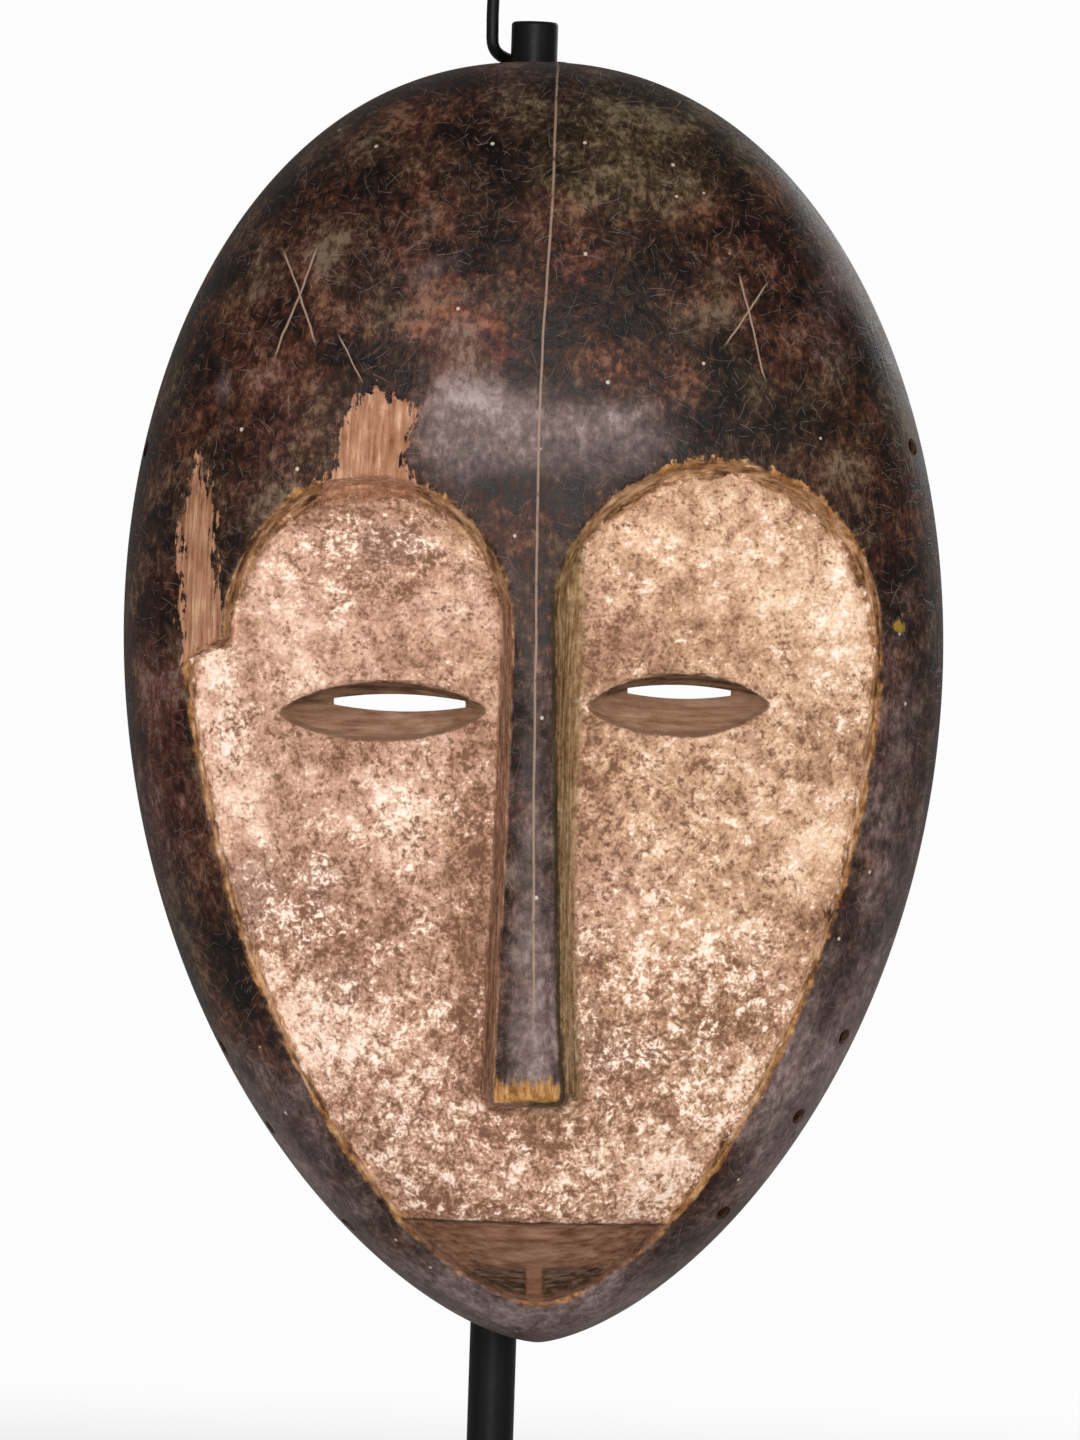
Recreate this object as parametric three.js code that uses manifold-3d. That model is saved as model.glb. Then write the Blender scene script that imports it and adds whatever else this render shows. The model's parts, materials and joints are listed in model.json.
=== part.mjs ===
// A carved wooden face mask hanging on its black steel display stand. Millimetres, +Z up.
// The mask faces -Y. The origin is the middle of the felt under the base plate.
import * as THREE from "three";
import { mergeVertices } from "three/addons/utils/BufferGeometryUtils.js";
import Module from "manifold-3d";

const wasm = await Module();
wasm.setup();

// ---- Driving dimensions ----

const CLEARANCE = 0.3; // between a round piece and what it turns in or lies against
const OVERRUN = 1; // how far a cut runs past the face it breaks through
const ROUND_SIDES = 32; // facets of a turned piece
const WIRE_SIDES = 8;
const CORNER_STEPS = 5;
const FRONT_GRID = { rings: 12, sides: 56 }; // facets of the carved front, the floor and the hollow
const FLOOR_GRID = { rings: 12, sides: 48 };
const HOLLOW_GRID = { rings: 8, sides: 40 };
const RING_SPREAD = 0.85; // below 1, the rings of facets lie closer together near the rim

const MASK = {
  height: 300,
  halfWidth: 96,
  widestAt: 165, // height of the widest level above the chin
  crownPower: 0.91, // the outline's fullness above the widest level
  chinPower: 1.28, // and below it, where the outline is more pointed
  depth: 64, // from the back rim to the front of the brow
  roundness: 2.4, // how far out the front stays full
  fullness: 0.34, // how steeply it then falls to the rim
  rimWall: 9, // thickness of the wood at the back rim
  hollowDepth: 41,
  chinX: 10.6, // the chin hangs this far to the right of the post's axis
  chinAboveTable: 80,
  lean: THREE.MathUtils.degToRad(-2.2), // the crown hangs over towards -X
};

const FACE = {
  edgeStep: 4.5, // the floor lies this far behind the brow and the rim beside it
  bowlDepth: 9, // and is hollowed this much deeper beside the nose
  bowlZ: 100,
  bowlHalfHeight: 115,
  bowlEdge: 0.86, // share of the outline at which the bowl runs out
  rimBand: 15, // width of the dark border beside the sunken face
  browX: 42,
  browZ: 166,
  browHalfWidth: 38.7,
  browHeight: 39,
  bottom: 9,
  sideRoundness: 1.7, // how the sides curve in to the chin
  sideFullness: 0.59,
  mouthAt: 29, // below this level the floor steps back
  mouthStep: 2.5,
};

const NOSE = {
  top: 176,
  straightFrom: 80, // below this level the two sides run parallel
  tip: 57,
  halfWidthTop: 4,
  halfWidthTip: 7.6,
  frontAtTop: 63,
  frontAtTip: 57,
  root: 42, // how deep the wedge starts, inside the wood of the floor
};

// The two eyes were cut by eye, so they differ a little: the left one, then the right one.
const SOCKETS = [
  { x: -34.7, z: 147.9, halfLength: 24.3, halfHeight: 7.3 },
  { x: 34.3, z: 148.9, halfLength: 21.1, halfHeight: 7.4 },
];
const SLITS = [
  { x: -31, z: 150, halfLength: 15.3, halfHeight: 2 },
  { x: 33.6, z: 152.1, halfLength: 12, halfHeight: 1.7 },
];
const SOCKET_FLOOR = 46; // in front of the back rim

// Holes for a fibre beard along the lower rim, and one more on each side at brow level. Each slants from
// a mouth near the edge of the front, back through the side wall into the hollow.
const FIBRE_HOLE = {
  heights: [27, 50, 69, 210],
  radius: 2,
  mouthShare: 0.972, // share of the outline at which the mouth lies
  innerInset: 11,
  innerFromRim: 7,
  overrun: 3,
  sides: 10,
};

const BASE = { width: 150, depth: 130, thickness: 10, cornerRadius: 6, edgeChamfer: 1 };
const FELT = { thickness: 2, inset: 3 };
const POST = { radius: 5.5, y: 30, aboveCrown: 10.5, chamfer: 0.8 };
const RIM_TO_POST_AXIS = 14;

const SCREW = { shankRadius: 3, headRadius: 5, headHeight: 4, intoPost: 14, holeSpare: 2 };
const WASHER = { radius: 6.2, thickness: 1.6 };
const COUNTERBORE = { radius: 7, depth: 6.2 };

const BUMPER = { aboveChin: 16, height: 12, edge: 1.5 };
const HOOK = {
  wireRadius: 1.5,
  bed: [[-9, 5.6], [-5, 1.6], [0, 0], [6, 0.8], [12.5, 4.5]], // the curl, as [y, z] from its lowest point
  riser: [[2, 11], [0.6, 20]], // then up the post: distance in front of the coil, and height over the bed
  riserTop: { gap: 0.2, belowCoil: 8 },
  coilBelowCrown: 4,
  turns: 1.5,
  pitch: 3.5,
  coilStart: -Math.PI / 2 + 0.95, // the coil starts just past the front of the post
  coilShort: 0.55, // and stops this angle short of its full turns
  stepsPerTurn: 12,
  tailX: -10,
  tailBend: [[0.6, 0.5, 2.5], [0, 0, 8]], // how the tail leaves the coil: [x, y, z] from its upright line
  tailRise: 34,
  fingerRadius: 7,
  fingerTurn: 1.2 * Math.PI,
  fingerSteps: 7,
  steps: 110,
};
const HANGING_WIRE = {
  radius: 0.8,
  apexX: 4.3,
  apexZ: 262.5,
  shoulder: 5, // half width of the peak
  shoulderDrop: 0.45,
  linkRadius: 2.6,
  linkPlay: 0.6, // between the link and the screw eye's ring
  linkTurn: 1.45 * Math.PI,
  linkSteps: 6,
  steps: 56,
};
const SCREW_EYE = {
  x: 54.5,
  z: 257,
  fromRim: 9,
  wireRadius: 0.9,
  ringRadius: 3.2,
  ringSteps: 20,
  shankEnd: 66,
  holeStart: 2, // the hole for the shank starts this far past the ring's middle
};

// ---- Levels and places worked out from them ----

const baseTop = FELT.thickness + BASE.thickness;
const rimY = POST.y - RIM_TO_POST_AXIS;
const crownZ = MASK.chinAboveTable + MASK.height * Math.cos(MASK.lean);
const postTop = crownZ + POST.aboveCrown;
const wellInFront = -2 * MASK.depth; // cuts into the front start here

// ---- Materials ----

const finish = (color, roughness, metalness = 0) =>
  new THREE.MeshStandardMaterial({ color, roughness, metalness });
const wood = finish(0x4a3831, 0.55);
const blackSteel = finish(0x17171a, 0.45, 0.3);
const ironWire = finish(0x3c3630, 0.6, 0.8);
const zincSteel = finish(0x9a9da0, 0.4, 0.9);
const rubber = finish(0x1b1b1c, 0.8);
const feltCloth = finish(0x232a25, 0.95);

// ---- Solids ----

function solid(geometry) {
  const bare = geometry.clone();
  bare.deleteAttribute("normal");
  bare.deleteAttribute("uv");
  const merged = mergeVertices(bare, 1e-4);
  return new wasm.Manifold(
    new wasm.Mesh({
      numProp: 3,
      vertProperties: merged.attributes.position.array,
      triVerts: new Uint32Array(merged.index.array),
    }),
  );
}

function geometryOf(manifold) {
  const { vertProperties, triVerts } = manifold.getMesh();
  const geometry = new THREE.BufferGeometry();
  geometry.setAttribute("position", new THREE.BufferAttribute(vertProperties, 3));
  geometry.setIndex(new THREE.BufferAttribute(triVerts, 1));
  geometry.computeVertexNormals();
  return geometry;
}

function named(name, shape, material) {
  const geometry = shape.isBufferGeometry ? shape : geometryOf(shape);
  const mesh = new THREE.Mesh(geometry, material);
  mesh.name = name;
  return mesh;
}

// A turned piece on the Z axis, from its half section: pairs of radius and height, going up the outside.
function turned(section, sides = ROUND_SIDES) {
  const profile = section.map(([radius, height]) => new THREE.Vector2(radius, height));
  return new THREE.LatheGeometry(profile, sides).rotateX(Math.PI / 2);
}

function rod(radius, z0, z1, sides) {
  return turned([[0, z0], [radius, z0], [radius, z1], [0, z1]], sides);
}

// A flat outline drawn in X and Z, made solid from y0 at the front to y1 at the back.
function frontPrism(outline, y0, y1, curveSegments = 12) {
  const settings = { depth: y1 - y0, bevelEnabled: false, curveSegments };
  return new THREE.ExtrudeGeometry(outline, settings).rotateX(Math.PI / 2).translate(0, y1, 0);
}

// A flat outline drawn in Y and Z, made solid from -halfWidth to halfWidth in X.
function sidePrism(outline, halfWidth) {
  const axes = [new THREE.Vector3(0, 1, 0), new THREE.Vector3(0, 0, 1), new THREE.Vector3(1, 0, 0)];
  return new THREE.ExtrudeGeometry(outline, { depth: 2 * halfWidth, bevelEnabled: false })
    .applyMatrix4(new THREE.Matrix4().makeBasis(...axes))
    .translate(-halfWidth, 0, 0);
}

function bentWire(curve, radius, steps) {
  const section = new THREE.Shape().absarc(0, 0, radius, 0, 2 * Math.PI);
  const settings = { steps, curveSegments: WIRE_SIDES, bevelEnabled: false, extrudePath: curve };
  return new THREE.ExtrudeGeometry(section, settings);
}

const point = (x, y, z) => new THREE.Vector3(x, y, z);

// ---- The mask, in its own frame: chin at the origin, back rim on the plane y = 0 ----

// A point of the egg outline. The rim can be drawn in by inset, and share shrinks it towards the middle.
function eggPoint(angle, share = 1, inset = 0) {
  const above = Math.sin(angle) > 0;
  const power = above ? MASK.crownPower : MASK.chinPower;
  const halfHeight = (above ? MASK.height - MASK.widestAt : MASK.widestAt) - inset;
  const across = Math.cos(angle);
  return {
    x: share * (MASK.halfWidth - inset) * Math.sign(across) * Math.abs(across) ** power,
    z: MASK.widestAt + share * halfHeight * Math.sin(angle),
  };
}

function domeDepth(share, depth) {
  return depth * Math.max(1 - share ** MASK.roundness, 0) ** MASK.fullness;
}

// How far the floor of the sunken face stands in front of the back rim.
function floorDepth(share, z) {
  const upAndDown = Math.max(1 - ((z - FACE.bowlZ) / FACE.bowlHalfHeight) ** 2, 0);
  const across = Math.max(1 - (share / FACE.bowlEdge) ** 3, 0);
  const floor = domeDepth(share, MASK.depth) - FACE.edgeStep - FACE.bowlDepth * upAndDown * across;
  return Math.max(floor, 0);
}

// A dome on the egg outline: turned round the Y axis, then each point is drawn out to the egg.
function eggDome({ depthAt, inset = 0, rings, sides, skirt = 0 }) {
  const profile = [];
  for (let i = 0; i < rings; i++) {
    const share = Math.sin((i / rings) * (Math.PI / 2)) ** RING_SPREAD;
    profile.push(new THREE.Vector2(share, -1));
  }
  profile.push(new THREE.Vector2(1, 0));
  if (skirt > 0) profile.push(new THREE.Vector2(1, skirt));
  profile.push(new THREE.Vector2(0, skirt));
  const geometry = new THREE.LatheGeometry(profile, sides);
  const position = geometry.attributes.position;
  for (let i = 0; i < position.count; i++) {
    const share = Math.hypot(position.getX(i), position.getZ(i));
    const egg = eggPoint(Math.atan2(position.getZ(i), position.getX(i)), share, inset);
    const y = position.getY(i) < 0 ? -depthAt(share, egg.z) : position.getY(i);
    position.setXYZ(i, egg.x, y, egg.z);
  }
  return solid(geometry);
}

// The sunken face seen from the front: two brow arches, and sides that draw in to the chin.
function faceOutline() {
  const sideSteps = 12;
  const sideX = MASK.halfWidth - FACE.rimBand;
  const sidePoint = (i) => {
    const drop = Math.sin((i / sideSteps) * (Math.PI / 2));
    const z = FACE.browZ - (FACE.browZ - FACE.bottom) * drop;
    return [sideX * (1 - drop ** FACE.sideRoundness) ** FACE.sideFullness, z];
  };
  const outline = new THREE.Shape();
  outline.moveTo(sideX, FACE.browZ);
  outline.absellipse(FACE.browX, FACE.browZ, FACE.browHalfWidth, FACE.browHeight, 0, Math.PI);
  outline.absellipse(-FACE.browX, FACE.browZ, FACE.browHalfWidth, FACE.browHeight, 0, Math.PI);
  for (let i = 1; i < sideSteps; i++) {
    const [x, z] = sidePoint(i);
    outline.lineTo(-x, z);
  }
  for (let i = sideSteps; i > 0; i--) {
    const [x, z] = sidePoint(i);
    outline.lineTo(x, z);
  }
  return outline;
}

// All that is carved away in front of the sunken face, which steps back below the mouth line.
function faceCut() {
  const archSteps = 10;
  const face = solid(frontPrism(faceOutline(), wellInFront, 0, archSteps));
  const mouth = new THREE.BoxGeometry(2 * MASK.halfWidth, -2 * wellInFront, FACE.mouthAt);
  const belowMouth = solid(mouth.translate(0, 0, FACE.mouthAt / 2));
  const floor = eggDome({ depthAt: floorDepth, ...FLOOR_GRID });
  const chinDepth = (share, z) => Math.max(floorDepth(share, z) - FACE.mouthStep, 0);
  const chinFloor = eggDome({ depthAt: chinDepth, ...FLOOR_GRID });
  const upper = face.subtract(belowMouth).subtract(floor);
  const lower = face.intersect(belowMouth).subtract(chinFloor);
  return upper.add(lower);
}

// The long straight nose: a wedge from between the brows to its blunt tip.
function nose() {
  const outline = new THREE.Shape();
  outline.moveTo(-NOSE.halfWidthTip, NOSE.tip);
  outline.lineTo(NOSE.halfWidthTip, NOSE.tip);
  outline.lineTo(NOSE.halfWidthTip, NOSE.straightFrom);
  outline.lineTo(NOSE.halfWidthTop, NOSE.top);
  outline.lineTo(-NOSE.halfWidthTop, NOSE.top);
  outline.lineTo(-NOSE.halfWidthTip, NOSE.straightFrom);
  const side = new THREE.Shape();
  side.moveTo(-NOSE.frontAtTip, NOSE.tip);
  side.lineTo(-NOSE.root, NOSE.tip);
  side.lineTo(-NOSE.root, NOSE.top);
  side.lineTo(-NOSE.frontAtTop, NOSE.top);
  const blank = solid(frontPrism(outline, wellInFront, 0));
  return blank.intersect(solid(sidePrism(side, MASK.halfWidth)));
}

function lens({ x, z, halfLength, halfHeight }) {
  const outline = new THREE.Shape();
  outline.moveTo(x - halfLength, z);
  outline.quadraticCurveTo(x, z - 2 * halfHeight, x + halfLength, z);
  outline.quadraticCurveTo(x, z + 2 * halfHeight, x - halfLength, z);
  return outline;
}

// The eyes: shallow sockets, each with a narrow slit right through the wood.
function eyeCuts() {
  const socketSteps = 8;
  const slitSteps = 6;
  const cut = (shape, back, steps) => solid(frontPrism(lens(shape), wellInFront, back, steps));
  const sockets = SOCKETS.map((socket) => cut(socket, -SOCKET_FLOOR, socketSteps));
  const slits = SLITS.map((slit) => cut(slit, MASK.depth, slitSteps));
  return [...sockets, ...slits].reduce((all, one) => all.add(one));
}

// A fibre hole at a height above the chin, on one side.
function fibreHole(height, side) {
  const { radius, mouthShare, innerInset, innerFromRim, overrun, sides } = FIBRE_HOLE;
  const halfHeight = height > MASK.widestAt ? MASK.height - MASK.widestAt : MASK.widestAt;
  const angle = Math.asin((height - MASK.widestAt) / halfHeight);
  const mouth = eggPoint(angle, mouthShare);
  const inner = eggPoint(angle, 1, innerInset);
  const from = point(side * mouth.x, -domeDepth(mouthShare, MASK.depth), mouth.z);
  const to = point(side * inner.x, -innerFromRim, inner.z);
  const middle = from.clone().lerp(to, 0.5);
  const along = to.clone().sub(from);
  const length = along.length() + 2 * overrun;
  const turn = new THREE.Quaternion().setFromUnitVectors(point(0, 1, 0), along.normalize());
  const hole = new THREE.CylinderGeometry(radius, radius, length, sides).applyQuaternion(turn);
  return solid(hole.translate(middle.x, middle.y, middle.z));
}

// The screw eyes' own holes in the side walls, a clearance wider than their shanks.
function shankHole(side) {
  const radius = SCREW_EYE.wireRadius + CLEARANCE;
  const inner = SCREW_EYE.x + SCREW_EYE.holeStart;
  const outer = SCREW_EYE.shankEnd + CLEARANCE;
  const hole = new THREE.CylinderGeometry(radius, radius, outer - inner, WIRE_SIDES)
    .rotateZ(Math.PI / 2)
    .translate((side * (inner + outer)) / 2, -SCREW_EYE.fromRim, SCREW_EYE.z);
  return solid(hole);
}

function maskBody() {
  const outer = eggDome({ depthAt: (share) => domeDepth(share, MASK.depth), ...FRONT_GRID });
  const hollow = eggDome({
    depthAt: (share) => domeDepth(share, MASK.hollowDepth),
    inset: MASK.rimWall,
    skirt: OVERRUN,
    ...HOLLOW_GRID,
  });
  let body = outer.subtract(faceCut()).add(nose()).subtract(hollow).subtract(eyeCuts());
  for (const side of [-1, 1]) {
    body = body.subtract(shankHole(side));
    for (const height of FIBRE_HOLE.heights) body = body.subtract(fibreHole(height, side));
  }
  return body;
}

// A small screw eye: a ring of wire standing upright, on a shank that runs out into the side wall.
function screwEye(side) {
  const { x, z, fromRim, wireRadius, ringRadius, ringSteps, shankEnd } = SCREW_EYE;
  const ring = new THREE.TorusGeometry(ringRadius, wireRadius, WIRE_SIDES, ringSteps)
    .rotateX(Math.PI / 2)
    .translate(side * x, -fromRim, z);
  const start = x + ringRadius;
  const shank = new THREE.CylinderGeometry(wireRadius, wireRadius, shankEnd - start, WIRE_SIDES)
    .rotateZ(Math.PI / 2)
    .translate((side * (start + shankEnd)) / 2, -fromRim, z);
  return solid(ring).add(solid(shank));
}

// The hanging wire: an end link through each screw eye, and a shallow peak where it lies on the hook.
function hangingWire() {
  const { radius, apexX, apexZ, shoulder, shoulderDrop, linkRadius, linkPlay, linkTurn, linkSteps } =
    HANGING_WIRE;
  const linkX = SCREW_EYE.x - SCREW_EYE.ringRadius - linkPlay;
  const linkPoint = (side, turn) =>
    point(
      side * (linkX + linkRadius * Math.sin(turn)),
      -SCREW_EYE.fromRim - linkRadius * Math.cos(turn),
      SCREW_EYE.z,
    );
  const leftLink = [];
  const rightLink = [];
  for (let i = 0; i <= linkSteps; i++) {
    const turn = (i / linkSteps) * linkTurn;
    leftLink.unshift(linkPoint(-1, turn));
    rightLink.push(linkPoint(1, turn));
  }
  const lineY = -SCREW_EYE.fromRim - linkRadius;
  const peak = [
    point(apexX - shoulder, lineY, apexZ - shoulderDrop),
    point(apexX, lineY, apexZ),
    point(apexX + shoulder, lineY, apexZ - shoulderDrop),
  ];
  const halfway = (from, to) => from.clone().lerp(to, 0.5);
  const leftSpan = halfway(leftLink.at(-1), peak[0]);
  const rightSpan = halfway(peak[2], rightLink[0]);
  const route = [...leftLink, leftSpan, ...peak, rightSpan, ...rightLink];
  return bentWire(new THREE.CatmullRomCurve3(route, false, "centripetal"), radius, HANGING_WIRE.steps);
}

// ---- The stand ----

function basePlate() {
  const { width, depth, thickness, cornerRadius, edgeChamfer } = BASE;
  const x = width / 2 - edgeChamfer;
  const y = depth / 2 - edgeChamfer;
  const r = cornerRadius - edgeChamfer;
  const outline = roundedRectangle(x, y, r);
  const settings = {
    depth: thickness - 2 * edgeChamfer,
    bevelThickness: edgeChamfer,
    bevelSize: edgeChamfer,
    bevelSegments: 1,
    curveSegments: CORNER_STEPS,
  };
  const plate = new THREE.ExtrudeGeometry(outline, settings).translate(0, 0, FELT.thickness + edgeChamfer);
  const below = FELT.thickness - OVERRUN;
  const bore = rod(SCREW.shankRadius + CLEARANCE, below, baseTop + OVERRUN);
  const seat = rod(COUNTERBORE.radius, below, FELT.thickness + COUNTERBORE.depth);
  const cuts = solid(bore).add(solid(seat)).translate(0, POST.y, 0);
  return solid(plate).subtract(cuts);
}

function roundedRectangle(x, y, r) {
  const outline = new THREE.Shape();
  outline.moveTo(x, -y + r);
  outline.absarc(x - r, y - r, r, 0, Math.PI / 2);
  outline.absarc(-x + r, y - r, r, Math.PI / 2, Math.PI);
  outline.absarc(-x + r, -y + r, r, Math.PI, 1.5 * Math.PI);
  outline.absarc(x - r, -y + r, r, 1.5 * Math.PI, 2 * Math.PI);
  return outline;
}

function baseFelt() {
  const x = BASE.width / 2 - FELT.inset;
  const y = BASE.depth / 2 - FELT.inset;
  const outline = roundedRectangle(x, y, BASE.cornerRadius - FELT.inset);
  const settings = { depth: FELT.thickness, bevelEnabled: false, curveSegments: CORNER_STEPS };
  return new THREE.ExtrudeGeometry(outline, settings);
}

// The post has a tapped hole in its foot for the base screw, and a turned edge at its top.
function post() {
  const { radius, chamfer } = POST;
  const tapped = SCREW.shankRadius + CLEARANCE;
  const holeTop = baseTop + SCREW.intoPost + SCREW.holeSpare;
  const section = [
    [0, holeTop],
    [tapped, holeTop],
    [tapped, baseTop],
    [radius, baseTop],
    [radius, postTop - chamfer],
    [radius - chamfer, postTop],
    [0, postTop],
  ];
  return turned(section).translate(0, POST.y, 0);
}

function baseScrew() {
  const headTop = FELT.thickness + COUNTERBORE.depth - WASHER.thickness;
  const headBottom = headTop - SCREW.headHeight;
  const section = [
    [0, headBottom],
    [SCREW.headRadius, headBottom],
    [SCREW.headRadius, headTop],
    [SCREW.shankRadius, headTop],
    [SCREW.shankRadius, baseTop + SCREW.intoPost],
    [0, baseTop + SCREW.intoPost],
  ];
  return turned(section).translate(0, POST.y, 0);
}

function baseWasher() {
  const top = FELT.thickness + COUNTERBORE.depth;
  const inner = SCREW.shankRadius + CLEARANCE;
  return ring(inner, WASHER.radius, top - WASHER.thickness, top, 0);
}

// A ring on the post's axis with its outer edges broken.
function ring(inner, outer, z0, z1, edge) {
  const section = [[inner, z0], [outer - edge, z0]];
  if (edge > 0) section.push([outer, z0 + edge], [outer, z1 - edge]);
  section.push([outer - edge, z1], [inner, z1], [inner, z0]);
  return turned(section).translate(0, POST.y, 0);
}

function bumperSleeve() {
  const z0 = MASK.chinAboveTable + BUMPER.aboveChin;
  const outer = RIM_TO_POST_AXIS - CLEARANCE;
  return ring(POST.radius + CLEARANCE, outer, z0, z0 + BUMPER.height, BUMPER.edge);
}

// Where the hanging wire's peak comes to lie, in the stand's frame.
const wirePeak = point(
  HANGING_WIRE.apexX,
  -SCREW_EYE.fromRim - HANGING_WIRE.linkRadius,
  HANGING_WIRE.apexZ,
)
  .applyAxisAngle(point(0, 1, 0), MASK.lean)
  .add(point(MASK.chinX, rimY, MASK.chinAboveTable));

// One length of wire: the hook inside the mask, a coil round the post, and a tail with a finger hook.
function hookWire() {
  const { wireRadius, bed, riser, riserTop, turns, pitch, stepsPerTurn, tailX, fingerRadius } = HOOK;
  const coilRadius = POST.radius + CLEARANCE + wireRadius;
  const coilFront = POST.y - coilRadius;
  const coilBottom = crownZ - HOOK.coilBelowCrown;
  const bedZ = wirePeak.z - HANGING_WIRE.radius - wireRadius - CLEARANCE;
  const route = [
    ...bed.map(([y, z]) => point(wirePeak.x, wirePeak.y + y, bedZ + z)),
    ...riser.map(([gap, z]) => point(wirePeak.x, coilFront - gap, bedZ + z)),
    point(wirePeak.x + riserTop.gap, coilFront - riserTop.gap, coilBottom - riserTop.belowCoil),
  ];
  const coilSteps = Math.round(turns * stepsPerTurn);
  const coilTurn = turns * 2 * Math.PI - HOOK.coilShort;
  for (let i = 0; i <= coilSteps; i++) {
    const wound = (i / coilSteps) * coilTurn;
    const angle = HOOK.coilStart + wound;
    const z = coilBottom + (wound / (2 * Math.PI)) * pitch;
    route.push(point(coilRadius * Math.cos(angle), POST.y + coilRadius * Math.sin(angle), z));
  }
  const coilTop = coilBottom + turns * pitch;
  const tailTop = coilTop + HOOK.tailRise;
  route.push(
    ...HOOK.tailBend.map(([x, y, z]) => point(tailX + x, POST.y + y, coilTop + z)),
    point(tailX, POST.y, coilTop + HOOK.tailRise / 2),
    point(tailX, POST.y, tailTop),
  );
  for (let i = 1; i <= HOOK.fingerSteps; i++) {
    const turn = (i / HOOK.fingerSteps) * HOOK.fingerTurn;
    const x = tailX + fingerRadius - fingerRadius * Math.cos(turn);
    route.push(point(x, POST.y, tailTop + fingerRadius * Math.sin(turn)));
  }
  return bentWire(new THREE.CatmullRomCurve3(route, false, "centripetal"), wireRadius, HOOK.steps);
}

// ---- The assembly ----

const mask = new THREE.Group();
mask.position.set(MASK.chinX, rimY, MASK.chinAboveTable);
mask.rotation.y = MASK.lean;
mask.add(
  named("mask_body", maskBody(), wood),
  named("screw_eye_left", screwEye(-1), zincSteel),
  named("screw_eye_right", screwEye(1), zincSteel),
  named("hanging_wire", hangingWire(), ironWire),
);

const assembly = new THREE.Group();
assembly.add(
  mask,
  named("hook_wire", hookWire(), blackSteel),
  named("post", post(), blackSteel),
  named("bumper_sleeve", bumperSleeve(), rubber),
  named("base_plate", basePlate(), blackSteel),
  named("base_screw", baseScrew(), zincSteel),
  named("base_washer", baseWasher(), zincSteel),
  named("base_felt", baseFelt(), feltCloth),
);

export default assembly;
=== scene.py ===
"""A carved wooden face mask on its black steel stand: the looks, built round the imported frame."""

import json
import math

import bpy
import numpy as np
from mathutils import Matrix, Vector, noise

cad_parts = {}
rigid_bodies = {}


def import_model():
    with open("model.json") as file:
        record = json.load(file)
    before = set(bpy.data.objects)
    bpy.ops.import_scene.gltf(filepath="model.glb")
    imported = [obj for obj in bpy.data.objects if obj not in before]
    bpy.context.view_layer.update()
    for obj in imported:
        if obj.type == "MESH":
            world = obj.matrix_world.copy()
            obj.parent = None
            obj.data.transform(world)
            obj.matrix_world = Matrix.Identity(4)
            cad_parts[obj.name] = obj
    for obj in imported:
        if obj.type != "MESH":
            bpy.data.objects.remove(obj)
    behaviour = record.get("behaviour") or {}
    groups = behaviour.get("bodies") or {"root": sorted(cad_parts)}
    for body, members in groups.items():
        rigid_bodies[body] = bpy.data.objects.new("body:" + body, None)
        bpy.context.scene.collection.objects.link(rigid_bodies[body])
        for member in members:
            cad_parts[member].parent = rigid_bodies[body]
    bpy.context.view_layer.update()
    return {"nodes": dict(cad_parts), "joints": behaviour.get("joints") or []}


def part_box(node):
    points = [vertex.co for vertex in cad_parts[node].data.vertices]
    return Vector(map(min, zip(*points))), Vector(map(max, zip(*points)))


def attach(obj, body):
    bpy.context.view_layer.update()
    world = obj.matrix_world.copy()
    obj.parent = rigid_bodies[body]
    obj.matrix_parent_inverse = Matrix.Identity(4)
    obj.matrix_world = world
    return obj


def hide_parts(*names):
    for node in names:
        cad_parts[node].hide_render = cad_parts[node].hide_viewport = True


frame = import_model()

MM = 0.001


# ---- Where the mask hangs: its own frame has the chin at the origin and the back rim on y = 0 ----

TILT = next(j for j in frame["joints"] if j["name"] == "mask_tilt")
LEAN = math.atan2(TILT["axis"][2], -TILT["axis"][0])
EYES_FROM_RIM = 9  # mm, the screw eyes stand this far in front of the back rim
EYES_ABOVE_CHIN = 257
TURN = Matrix.Rotation(LEAN, 4, "Y")
CHIN = Vector(TILT["pos_m"]) - TURN @ Vector((0, -EYES_FROM_RIM * MM, EYES_ABOVE_CHIN * MM))
HANG = Matrix.Translation(CHIN) @ TURN @ Matrix.Scale(MM, 4)


# ---- Sizes of the mask, in millimetres ----

HEIGHT = 300
HALF_WIDTH = 96
WIDEST_AT = 165
CROWN_POWER = 0.91  # how blunt the outline is above its widest level, and below it
CHIN_POWER = 1.28
DEPTH = 64
ROUNDNESS = 2.4  # of the dome, towards its middle and towards its rim
FULLNESS = 0.34
RIM_EDGE = 0.7  # the front's edge stands this far before the back rim
RIM_WALL = 9
HOLLOW_DEPTH = 41
AT_RIM = 0.9999  # the share past which a point lies on the outline

EDGE_STEP = 4.5
BOWL = {"depth": 9, "z": 100, "half_height": 115, "edge": 0.86}
CARVED_WALL = 2.6  # width of the cut that drops from the brow and the rim to the face

# Each brow arch: middle x, level where it springs, half width, height. Left, then right.
ARCHES = ((-38, 166, 33.5, 36.5), (41.9, 166, 38.3, 39))
FACE_SIDE = 80.6
FACE_BOTTOM = 10.2
LEFT_NOTCH = 5  # the left side of the face starts this much lower than its arch
SIDE_ROUNDNESS = 1.7
SIDE_FULLNESS = 0.59
MOUTH_AT = 29.9
MOUTH_SLOPE = -0.028
MOUTH_STEP = 2.5
MOUTH_EDGE = 1.2
MOUTH_GROOVE = {"depth": 0.8, "half_width": 0.9}
# Two pockets under the mouth, one on each side of a bar. Their bottoms rise towards their ends.
POCKET = {"middle": -0.8, "half_bar": 1.7, "reach": 17, "bottom": 12, "rise": 0.02, "top": 19, "depth": 1.3}

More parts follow.
